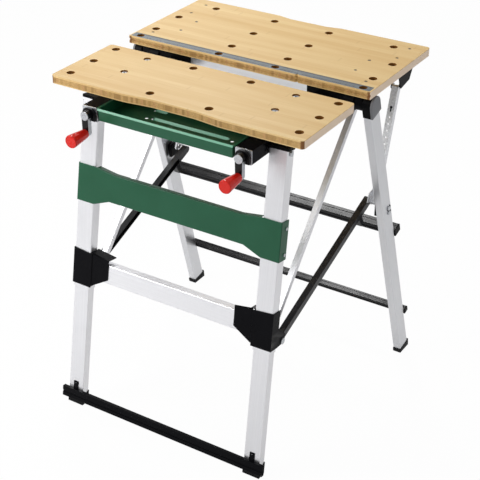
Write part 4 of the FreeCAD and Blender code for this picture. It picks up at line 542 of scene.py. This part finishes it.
# The screws are blackened, and show a dull brownish grey
screw_finish = zinc("steel_blackened_screw", "5A5348", 0.4)
SCREW_SLOT = (3.8, 0.9, 2.4)
SCREW_SPOTS = ((300.0, 220.5), (300.0, 291.5), (250.0, 99.5), (250.0, 171.5), (302.0, 51.0))
screw = bmesh.new()
turned(screw, (0, 0, 0), UP, [(2.0, -2.4), (3.9, -1.0), (3.9, -0.7), (3.4, -0.45), (2.6, -0.4)], 24)
cross = bmesh.new()
for turn in (0.0, math.pi / 2):
    block(cross, SCREW_SLOT, Matrix.Rotation(turn, 3, "Z"))
screw = carve(screw, cross)
screws = repeat(screw, [Matrix.Translation(at(sign * x, REAR_JAW + y, 0)) for x, y in SCREW_SPOTS
                        for sign in (-1, 1)])
add_piece("jaw_screws_finished", screws, screw_finish, "rear_jaw", ["jaw_screws"])

# Rails, carriers and corner pieces. Steel box rails with satin black powder coat, the channels that carry
# the front jaw along them, and black mouldings that close the rails round the hinge line.


def powder_coat(name, code, light, rough, shine, wave=1.2, relief=0.25):
    """Powder-coated steel: an even satin colour with the fine orange-peel waves of baked powder."""
    made, tree, shader, place = new_finish(name)
    # The waves are 1 to 2 mm across; on the thin bars at the back they are drawn coarser, to stay smooth
    peel = add(tree, "ShaderNodeTexNoise", {"Vector": place, "Scale": 1000.0 / wave, "Detail": 2.0})
    cloud = add(tree, "ShaderNodeTexNoise", {"Vector": place, "Scale": 14.0, "Detail": 3.0}).outputs[0]
    tone = add(tree, "ShaderNodeMapRange", {0: cloud, 1: 0.3, 2: 0.7, 3: 0.0, 4: 0.35})
    colour = add(tree, "ShaderNodeMix", {0: tone.outputs[0], 6: linear(code), 7: linear(light)},
                 data_type="RGBA")
    tree.links.new(colour.outputs[2], shader.inputs["Base Color"])
    spread = add(tree, "ShaderNodeMapRange", {0: cloud, 1: 0.3, 2: 0.7, 3: rough - 0.03, 4: rough + 0.06})
    tree.links.new(spread.outputs[0], shader.inputs["Roughness"])
    bumps = add(tree, "ShaderNodeBump", {"Height": peel.outputs[0], "Strength": relief, "Distance": 0.0001})
    tree.links.new(bumps.outputs[0], shader.inputs["Normal"])
    shader.inputs["IOR"].default_value = 1.5
    shader.inputs["Specular IOR Level"].default_value = shine
    return made


def moulded(name, code, light, rough, shine, grit=0.7):
    """Moulded plastic with the fine spark-eroded grain of its mould."""
    made, tree, shader, place = new_finish(name)
    # The grain is about 0.7 mm, and coarser on the smooth plastics
    grain = add(tree, "ShaderNodeTexNoise", {"Vector": place, "Scale": 1000.0 / grit, "Detail": 3.0})
    grain = grain.outputs[0]
    tone = add(tree, "ShaderNodeMapRange", {0: grain, 1: 0.35, 2: 0.7, 3: 0.0, 4: 0.5})
    colour = add(tree, "ShaderNodeMix", {0: tone.outputs[0], 6: linear(code), 7: linear(light)},
                 data_type="RGBA")
    tree.links.new(colour.outputs[2], shader.inputs["Base Color"])
    spread = add(tree, "ShaderNodeMapRange", {0: grain, 1: 0.3, 2: 0.7, 3: rough - 0.05, 4: rough + 0.08})
    tree.links.new(spread.outputs[0], shader.inputs["Roughness"])
    bumps = add(tree, "ShaderNodeBump", {"Height": grain, "Strength": 0.3, "Distance": 0.0001})
    tree.links.new(bumps.outputs[0], shader.inputs["Normal"])
    shader.inputs["IOR"].default_value = 1.49
    shader.inputs["Specular IOR Level"].default_value = shine
    return made


black_coat = powder_coat("steel_powder_coated_black", "0D0D10", "151518", 0.28, 0.04)
black_nylon = moulded("nylon_black", "0B0B0D", "131316", 0.4, 0.05)
bare_steel = zinc("steel_sawn_bare", "C9CACD", 0.4)
SIDES = {"left": -1, "right": 1}
RAIL_END = -22.5
for side in SIDES:
    rail = copied(f"rail_{side}")
    soften(rail, 0.5)
    # The sawn front end of the box section is left without powder
    for face in rail.faces:
        if face.normal.y < -0.9 and face.calc_center_median().y < (JAW_FRONT + RAIL_END) * MM:
            face.material_index = 1
    add_piece(f"rail_{side}_finished", rail, black_coat, "top_frame", [f"rail_{side}"],
              bare_steel)
    eased(f"jaw_carrier_{side}", "front_jaw", black_coat, 0.6)
    eased(f"corner_{side}", "top_frame", black_nylon, 1.4, 3)
silver_along = anodised("aluminium_satin_crosswise", "EDEDF0", ALONG_X)
eased("cross_tube", "top_frame", silver_along, 0.3)

# Clamping gear. Threaded steel spindles run in black moulded plugs behind bright end plates; the cranks
# are pressed channels with a black hub and a riveted disc, and their red faceted grips turn on pins.
RAIL_X = 207.8
SPINDLE_DROP = 56.5
GRIP_DROP = 99.5
TO_REAR = Vector((0, 1, 0))
TO_FRONT = Vector((0, -1, 0))
PLUG_BACK = -26.0
PLUG_THICK = 5.5
PLUG_LOW, PLUG_HIGH, PLUG_HALF, PLUG_ARCH = -73.0, -42.6, 18.0, 13.0
ARM_FRONT = -46.0
ARM_RADIUS = 9.9
ARM_DEEP = 12.0
ARM_WALL = 2.0
ARM_HOLLOW = 9.5
FOOT_SHARE = 0.93
SPINDLE_FRONT = -31.5
THREAD_PITCH = 6.0
THREAD_TURNS = 40
STEPS_A_TURN = 20
black_gloss = moulded("nylon_black_smooth", "0C0C0E", "141417", 0.28, 0.2, 1.5)

for side, sign in SIDES.items():
    x = sign * RAIL_X
    # The bearing plate's rounded edge shows round a plug with an arched top
    plate = copied(f"spindle_bearing_{side}")
    soften(plate, 0.6)
    add_piece(f"spindle_bearing_{side}_finished", plate, zinc_finish, "top_frame",
              [f"spindle_bearing_{side}"])
    plug = bmesh.new()
    outline = [plug.verts.new(at(x + dx, PLUG_BACK, z)) for dx, z in
               ((-PLUG_HALF, PLUG_LOW), (PLUG_HALF, PLUG_LOW),
                (PLUG_HALF, PLUG_HIGH), (-PLUG_HALF, PLUG_HIGH))]
    plug.faces.new(outline)
    bmesh.ops.bevel(plug, geom=outline[2:], offset=PLUG_ARCH * MM, offset_type="OFFSET", affect="VERTICES",
                    segments=8, profile=0.5, material=-1)
    grown = bmesh.ops.extrude_face_region(plug, geom=list(plug.faces))["geom"]
    bmesh.ops.translate(plug, verts=corners_of(grown), vec=TO_FRONT * PLUG_THICK * MM)
    bmesh.ops.recalc_face_normals(plug, faces=plug.faces)
    soften(plug, 1.0)
    add_piece(f"bearing_plug_{side}", plug, black_gloss, "top_frame")

    # The arm: a stretched disc, drawn back into a channel that is open to the rear
    arm = bmesh.new()
    rim = bmesh.ops.create_circle(arm, cap_ends=True, segments=48, radius=ARM_RADIUS * MM)["verts"]
    bmesh.ops.rotate(arm, verts=rim, cent=(0, 0, 0), matrix=Matrix.Rotation(math.radians(-90), 3, "X"))
    foot = [vert for vert in rim if vert.co.z < -0.01 * MM]
    bmesh.ops.scale(arm, verts=foot, vec=(FOOT_SHARE, 1.0, FOOT_SHARE))
    bmesh.ops.translate(arm, verts=foot, vec=(0, 0, (SPINDLE_DROP - GRIP_DROP) * MM))
    bmesh.ops.translate(arm, verts=rim, vec=at(x, ARM_FRONT, -SPINDLE_DROP))
    grown = bmesh.ops.extrude_face_region(arm, geom=list(arm.faces))["geom"]
    back = [face for face in grown if isinstance(face, bmesh.types.BMFace)]
    bmesh.ops.translate(arm, verts=corners_of(grown), vec=TO_REAR * ARM_DEEP * MM)
    bmesh.ops.recalc_face_normals(arm, faces=arm.faces)
    bmesh.ops.inset_region(arm, faces=back, thickness=ARM_WALL * MM, use_even_offset=True)
    grown = bmesh.ops.extrude_face_region(arm, geom=back)["geom"]
    bmesh.ops.delete(arm, geom=back, context="FACES")
    bmesh.ops.translate(arm, verts=corners_of(grown), vec=TO_FRONT * ARM_HOLLOW * MM)
    bmesh.ops.recalc_face_normals(arm, faces=arm.faces)
    soften(arm, 0.9, 3)
    # The arm's front faces take the black gloss, darker than its zinc sides, and its pin and disc are bright
    for face in arm.faces:
        if face.normal.y < -0.8:
            face.material_index = 1
    turned(arm, at(x, ARM_FRONT - 0.5, -GRIP_DROP), TO_FRONT, [(3.8, 0.0), (3.8, 48.0), (3.2, 48.6)], 24)
    turned(arm, at(x, ARM_FRONT, -SPINDLE_DROP), TO_FRONT,
           [(10.7, 0.0), (10.7, 1.3), (10.2, 1.9), (4.2, 2.0), (3.8, 1.6)], 48)
    add_piece(f"crank_arm_{side}_finished", arm, zinc_finish, f"crank_{side}",
              [f"crank_arm_{side}"], black_gloss)
    hub = bmesh.new()
    turned(hub, at(x, ARM_FRONT + 0.1, -SPINDLE_DROP), TO_REAR,
           [(10.8, 0.0), (11.3, 0.6), (11.3, 13.2), (10.7, 13.9)], 48)
    add_piece(f"crank_hub_{side}", hub, black_gloss, f"crank_{side}")

    rod = bmesh.new()
    centre = at(x, SPINDLE_FRONT, -SPINDLE_DROP)
    turned(rod, centre, TO_REAR, [(6.0, 0.0), (6.0, 24.8), (9.0, 24.8), (9.0, 27.8), (6.0, 27.8), (6.0, 34.5),
                                  (5.0, 36.5), (5.0, 291.0), (4.0, 292.4)], 32)
    # One ridge wound round the rod
    ridge = bmesh.ops.create_circle(rod, cap_ends=False, segments=4, radius=1.9 * MM)["verts"]
    bmesh.ops.scale(rod, verts=ridge, vec=(0.32, 1.0, 1.0))
    bmesh.ops.translate(rod, verts=ridge, vec=centre + Vector((5.4, 40.5, 0)) * MM)
    edges = list({edge for vert in ridge for edge in vert.link_edges})
    wound = bmesh.ops.spin(rod, geom=edges, cent=centre, axis=TO_REAR, angle=math.tau * THREAD_TURNS,
                           dvec=TO_REAR * THREAD_PITCH * MM / STEPS_A_TURN,
                           steps=THREAD_TURNS * STEPS_A_TURN, use_merge=False)
    last = [item for item in wound["geom_last"] if isinstance(item, bmesh.types.BMEdge)]
    bmesh.ops.edgeloop_fill(rod, edges=edges)
    bmesh.ops.edgeloop_fill(rod, edges=last)
    bmesh.ops.recalc_face_normals(rod, faces=rod.faces)
    add_piece(f"spindle_{side}_finished", rod, zinc_finish, f"crank_{side}", [f"spindle_{side}"])

red_gloss = moulded("polypropylene_red_gloss", "D61E14", "E0281B", 0.12, 0.3, 1.5)
GRIP_SIDES = 10
GRIP_FOOT = -46.3
for side, sign in SIDES.items():
    grip = bmesh.new()
    foot = at(sign * RAIL_X, GRIP_FOOT, -GRIP_DROP)
    turned(grip, foot, TO_FRONT, [(10.2, 0.0), (11.2, 0.8), (12.0, 6.0), (13.6, 22.0), (15.6, 40.0),
                                  (16.3, 50.5)], GRIP_SIDES)
    ridges = [edge for edge in grip.edges if edge.calc_length() > 4.0 * MM
              and abs((edge.verts[0].co - edge.verts[1].co).normalized().y) > 0.6]
    bmesh.ops.bevel(grip, geom=ridges, offset=1.6 * MM, offset_type="OFFSET", affect="EDGES", segments=3,
                    profile=0.5, material=-1, clamp_overlap=True)
    turned(grip, foot, TO_FRONT, [(15.2, 49.0), (15.9, 50.4), (15.9, 53.2), (15.2, 54.8), (13.9, 55.4),
                                  (13.0, 55.3), (12.6, 54.9), (6.0, 54.8)], 48)
    add_piece(f"grip_{side}_finished", grip, red_gloss, f"grip_{side}", [f"grip_{side}"])

# Tool tray and cross panel. Pressed sheet steel with green powder coat: the tray hangs between the rails,
# and the panel is folded round both front legs and screwed to their outer sides.
green_coat = powder_coat("steel_powder_coated_green", "185338", "1E5E42", 0.32, 0.3, 1.5, 0.2)
# Pale mint on the folded edges, a painted highlight of the key lamp's glare on them
green_painted_highlight = powder_coat("steel_powder_coated_green_painted_highlight", "5AA583", "79BC9C", 0.3, 0.4, 1.5, 0.2)
# Slots in the floor, from x to x at a distance from the front edge, with the half width of each
SLOTS = ((-70.0, 124.0, 36.0, 6.5), (-93.0, -69.0, 77.0, 6.0))
TRAY_FLOOR = -62.0
SLOT_CUT = 8.0
slots = bmesh.new()
for left, right, row, half in SLOTS:
    slot = cylinder(slots, half, SLOT_CUT, Matrix.Translation(at(left, row, TRAY_FLOOR)), 32)
    bmesh.ops.translate(slots, verts=[vert for vert in slot if vert.co.x > left * MM + 1e-6],
                        vec=((right - left) * MM, 0, 0))
tray = carve(copied("tool_tray"), slots)
soften(tray, 1.3, 3)
# The sheet is folded down behind each slot, and turned out along the front edge: x to x, place and height
FLAPS = ((-78.0, 132.0, 41.3, -65.3, 7.6), (-100.0, -62.0, 81.8, -65.3, 7.6),
         (-183.0, 183.0, -28.6, -40.6, 5.0))
FLAP_THICK = 1.3
FLAP_TURN = Matrix.Rotation(math.radians(-29.0), 3, "X")
for left, right, y, z, height in FLAPS:
    flap = block(tray, (right - left, FLAP_THICK, height), FLAP_TURN, at((left + right) / 2, y, z))
    # The flaps' faces take the pale mint as a painted highlight
    for face in {face for vert in flap for face in vert.link_faces}:
        face.material_index = 1
add_piece("tool_tray_finished", tray, green_coat, "top_frame", ["tool_tray"], green_painted_highlight)

FRONT_LEAN = math.radians(9.258)
FOLD_BOLT = (51.0, -64.5)


def on_slope(x, depth, down):
    """A place in the slope of the front legs: how far behind the fold bolts, and how far down from them."""
    return at(x, FOLD_BOLT[0] + depth * math.cos(FRONT_LEAN) - down * math.sin(FRONT_LEAN),
              FOLD_BOLT[1] - depth * math.sin(FRONT_LEAN) - down * math.cos(FRONT_LEAN))


# Half of the panel's outline, x and how far down; its edges are folded back, each chain to its own depth
HALF_OUTLINE = ((190.0, 236.5), (234.0, 253.5), (286.6, 253.5), (285.1, 157.5), (229.0, 157.5),
                (177.0, 164.8))
LEG_FRONT = -11.35
SHEET = 2.0
FOLDS = (((0,), 12.0), ((4, 5, 6), 14.5), ((10, 11), 12.0), ((2,), 31.3), ((8,), 31.3))
panel = bmesh.new()
corners = [(x, down) for x, down in HALF_OUTLINE] + [(-x, down) for x, down in reversed(HALF_OUTLINE)]
rim = [panel.verts.new(on_slope(x, LEG_FRONT - SHEET, down)) for x, down in corners]
panel.faces.new(rim)
panel.edges.ensure_lookup_table()
folds = []
for first, depth in FOLDS:
    chain = [panel.edges.get((rim[n], rim[(n + 1) % len(rim)])) for n in first]
    folds += chain
    grown = bmesh.ops.extrude_edge_only(panel, edges=chain)["geom"]
    bmesh.ops.translate(panel, verts=corners_of(grown), vec=on_slope(0, depth, 0) - on_slope(0, 0, 0))
bmesh.ops.recalc_face_normals(panel, faces=panel.faces)
if sum(face.normal.y * face.calc_area() for face in panel.faces) > 0:
    bmesh.ops.reverse_faces(panel, faces=panel.faces)
bmesh.ops.bevel(panel, geom=folds, offset=2.2 * MM, offset_type="OFFSET", affect="EDGES", segments=4,
                profile=0.5, material=-1, clamp_overlap=True)
bmesh.ops.solidify(panel, geom=panel.faces, thickness=SHEET * MM)
bmesh.ops.recalc_face_normals(panel, faces=panel.faces)
add_piece("cross_panel_finished", panel, green_coat, "front_frame", ["cross_panel"])

# Front frame. Aluminium box legs that lean back, the lower ones inside the upper, with black brackets
# folded round the joint, a silver crossbar between them, black foot blocks and a black foot bar.
front_silver = anodised("aluminium_satin_front_legs", "E9E9EC", (FRONT_LEAN, 0.0, 0.0))
rubber = moulded("thermoplastic_black_soft", "0E0E10", "17171A", 0.5, 0.12, 0.9)
# The bracket's lip slopes down from the top of its cheek, its sleeve ends 11 mm higher than in the packed
# part, and its cheek stays narrow down to its lug. Each row of corners between two heights down the leg, and
# between two depths, moves up the leg or to a new depth.
CHEEK = (230.0, 239.5)
CUTS = (432.0, 451.0)
ANY = (-math.inf, math.inf)
IN_FRONT = (-math.inf, 0.0)
BEHIND = (18.0, math.inf)
CHEEK_ROWS = (((389.0, 391.5), ANY, 6.5), ((0.0, 386.0), BEHIND, 2.5))
SLEEVE_ROWS = (((486.0, math.inf), ANY, 11.0), ((478.1, 479.1), ANY, 5.0), ((472.1, 473.1), IN_FRONT, 9.0),
               ((441.2, 442.2), IN_FRONT, 6.0))
NEW_DEPTHS = {CUTS[0]: 17.6, CUTS[1]: 51.0}


def between(value, limits):
    """Whether a value lies between two limits."""
    return limits[0] < value < limits[1]


for side in SIDES:
    eased(f"upper_leg_{side}", "front_frame", front_silver, 0.3)
    eased(f"lower_leg_{side}", "front_frame", front_silver, 0.3)
    eased(f"leg_cap_{side}", "front_frame", black_nylon, 0.5)
    bracket = copied(f"slide_bracket_{side}")
    for down in CUTS:
        bmesh.ops.bisect_plane(bracket, geom=bracket.verts[:] + bracket.edges[:] + bracket.faces[:],
                               dist=1e-6, plane_co=on_slope(0, 0, down),
                               plane_no=on_slope(0, 0, 1) - on_slope(0, 0, 0))
    for vert in bracket.verts:
        rise = (vert.co - on_slope(0, 0, 0)) / MM
        depth = rise.y * math.cos(FRONT_LEAN) - rise.z * math.sin(FRONT_LEAN)
        down = -rise.y * math.sin(FRONT_LEAN) - rise.z * math.cos(FRONT_LEAN)
        rows = SLEEVE_ROWS + (CHEEK_ROWS if between(abs(vert.co.x) / MM, CHEEK) else ())
        lift = sum(up for heights, depths, up in rows if between(down, heights) and between(depth, depths))
        for cut, new_depth in NEW_DEPTHS.items():
            if abs(down - cut) < 0.1 and between(depth, BEHIND):
                depth = new_depth
        vert.co = on_slope(vert.co.x / MM, depth, down - lift)
    soften(bracket, 0.5)
    add_piece(f"slide_bracket_{side}_finished", bracket, black_coat, "front_frame",
              [f"slide_bracket_{side}"])
    eased(f"front_foot_{side}", "front_frame", rubber, 0.6)
eased("front_crossbar", "front_frame", silver_along, 0.3)

# The foot bar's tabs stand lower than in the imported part, and each is riveted to its leg twice
TAB_FROM = 70.0
TAB_LOWER = 8.5
RIVET_HEIGHTS = (58.5, 49.5)
foot_bar = copied("foot_bar")
tabs = [vert for vert in foot_bar.verts if vert.co.z > TAB_FROM * MM]
bmesh.ops.translate(foot_bar, verts=tabs, vec=(0, 0, -TAB_LOWER * MM))
tab_front = min(vert.co.y for vert in tabs)
tab_middle = sum(abs(vert.co.x) for vert in tabs) / len(tabs)
eased("foot_bar", "front_frame", black_coat, 0.8, shape=foot_bar)
rivet = bmesh.new()
turned(rivet, (0, 0, 0), TO_FRONT, [(2.4, -1.0), (2.4, 0.7), (1.7, 1.2)], 20)
rivets = repeat(rivet, [Matrix.Translation((sign * tab_middle, tab_front, height * MM))
                        for sign in (-1, 1) for height in RIVET_HEIGHTS])
add_piece("foot_tab_rivets", rivets, zinc_finish, "front_frame")
for node in ("link_pins", "fold_bolts", "panel_screws"):
    eased(node, "front_frame", zinc_finish, 0.5)

# Rear frame. Flat aluminium box legs that splay and lean back, moulded heads with grey caps over the
# hinge pins, two grooved black crossbars with end plugs, level feet and the studs of the stays.
REAR_LEAN = math.radians(-16.74)
rear_silver = anodised("aluminium_satin_rear_legs", "D8D9DC", (REAR_LEAN, 0.0, 0.0))
grey_moulded = moulded("nylon_grey", "7C7D81", "88898E", 0.45, 0.25)
STUD_HOLE_RADIUS = 9.5
STUD_HOLE = (344.0, 444.8, -362.2)
HOLE_CUT = 8.0
CAP_EDGE = (8.0, 12.0)
CAP_RAISE, CAP_MIDDLE, CAP_SLOPE = 2.5, 566.0, 0.2
for side, sign in SIDES.items():
    # An access hole in the outer wall, round the head of the upper stud
    hole = bmesh.new()
    x, y, z = STUD_HOLE
    cylinder(hole, STUD_HOLE_RADIUS, HOLE_CUT,
             Matrix.Translation(at(sign * x, y, z)) @ Matrix.Rotation(math.radians(90), 4, "Y"))
    leg = carve(copied(f"rear_leg_{side}"), hole)
    eased(f"rear_leg_{side}", "rear_frame", rear_silver, 0.3, shape=leg)
    eased(f"leg_knuckle_{side}", "rear_frame", black_nylon, 0.8)
    eased(f"knuckle_cap_{side}", "rear_frame", grey_moulded, 0.3)
    # The cap's upper edge is square to the leg, so it stands higher at the rear
    cap = copied(f"rear_foot_{side}")
    for vert in cap.verts:
        if between(vert.co.z / MM, CAP_EDGE):
            vert.co.z += (CAP_RAISE + (vert.co.y / MM - JAW_FRONT - CAP_MIDDLE) * CAP_SLOPE) * MM
    eased(f"rear_foot_{side}", "rear_frame", rubber, 0.6, shape=cap)

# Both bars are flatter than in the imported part, the lower one thinner too, and lie against the legs' backs
bar_black = powder_coat("steel_satin_black_bars", "0D0D10", "151518", 0.25, 0.16, 8.0, 0.04)
FLATTER = {"upper_crossbar": (0.26, 0.0), "lower_crossbar": (0.48, 0.36)}
BAR_HALF = 12.0
PLUG_REACH = 40.0
along_leg = Vector((0, -math.sin(REAR_LEAN), -math.cos(REAR_LEAN)))
off_leg = Vector((0, math.cos(REAR_LEAN), -math.sin(REAR_LEAN)))
plugs = copied("crossbar_plugs")
for node, (flatter, thinner) in FLATTER.items():
    bar = copied(node)
    middle = sum((vert.co for vert in bar.verts), Vector()) / len(bar.verts)
    its_plugs = [vert for vert in plugs.verts if (vert.co - middle).yz.length < PLUG_REACH * MM]
    for vert in bar.verts[:] + its_plugs:
        from_middle = vert.co - middle
        vert.co -= along_leg * from_middle.dot(along_leg) * flatter
        vert.co -= off_leg * (from_middle.dot(off_leg) + BAR_HALF * MM) * thinner
    eased(node, "rear_frame", bar_black, 0.5, shape=bar)
eased("crossbar_plugs", "rear_frame", black_nylon, 1.2, 3, shape=plugs)

# The studs' heads sit in the middle of their access holes
HEADS_FROM = 341.0
HEADS_FORWARD = 9.4
studs = copied("leg_studs")
heads = [vert for vert in studs.verts if abs(vert.co.x) > HEADS_FROM * MM]
bmesh.ops.translate(studs, verts=heads, vec=TO_FRONT * HEADS_FORWARD * MM)
eased("leg_studs", "rear_frame", zinc_finish, 0.5, shape=studs)
corner_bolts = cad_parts["corner_bolts"].data
corner_bolts.materials.clear()
corner_bolts.materials.append(zinc_finish)

# Rear jaw brackets and the links. Black moulded brackets under the rear jaw, perforated zinc stays, silver
# braces of square tube and black channel struts with a rounded handle end.
STAY_PIN = at(0.0, 535.0, -78.0)
STAY_INNER = 290.4
STAY_TURN = Matrix.Rotation(math.radians(-15.88), 3, "X")
BRACE_LEAN = math.radians(41.56)
PLATE_FROM = 308.0
EYE_SHARE, EYE_REACH, EYE_SHIFT = 0.65, 20.0, 2.5
TAIL_SHIFT = Vector((0, -4.0, 4.5)) * MM
CATCH_SIZE, CATCH_PLACE = (12.6, 9.2, 32.0), (STAY_INNER + 8.7, -1.6, -54.0)
PAD_SIZE, PAD_PLACE = (9.0, 38.0, 40.0), (314.0, 450.0, -368.0)
# The struts' black is drawn a dark satin grey, lighter than the other black, as painted sheen
strut_black = powder_coat("steel_satin_black_struts", "18181B", "222326", 0.3, 0.3, 8.0, 0.06)
brace_silver = anodised("aluminium_satin_braces", "EEEEF1", (BRACE_LEAN, 0.0, 0.0), 0.5)
stay_zinc = zinc("steel_zinc_plated_stays", "F0F1F4", 0.42)
for side, sign in SIDES.items():
    eased(f"jaw_bracket_{side}", "rear_jaw", black_nylon, 0.9)
    # The plate narrows to a small eye round the pin
    plate = copied(f"stay_bracket_{side}")
    for vert in plate.verts:
        from_pin = vert.co - STAY_PIN
        if abs(vert.co.x) > PLATE_FROM * MM and from_pin.z < 3.0 * MM:
            if from_pin.y < EYE_REACH * MM:
                vert.co.y = STAY_PIN.y + from_pin.y * EYE_SHARE + EYE_SHIFT * MM
                vert.co.z = STAY_PIN.z + from_pin.z * EYE_SHARE + EYE_SHIFT * MM
            else:
                vert.co += TAIL_SHIFT
    eased(f"stay_bracket_{side}", "rear_jaw", black_coat, 0.7, shape=plate)
    eased(f"stay_{side}", f"stay_{side}", stay_zinc, 0.4)
    # A black catch inside the channel, behind the keyhole
    x, y, z = CATCH_PLACE
    catch = bmesh.new()
    block(catch, CATCH_SIZE, STAY_TURN, STAY_PIN + STAY_TURN @ Vector((sign * x, y, z)) * MM)
    soften(catch, 0.8)
    add_piece(f"stay_catch_{side}", catch, black_nylon, f"stay_{side}")
    # A black pad on the inner wall of the rear leg, round the stud that the stay hooks on
    x, y, z = PAD_PLACE
    pad = bmesh.new()
    block(pad, PAD_SIZE, middle=at(sign * x, y, z))
    soften(pad, 2.0, 3)
    add_piece(f"stay_pad_{side}", pad, black_nylon, "rear_frame")
    eased(f"brace_{side}", f"brace_{side}", brace_silver, 1.2, 3)
    eased(f"strut_{side}", f"strut_{side}", strut_black, 0.7)
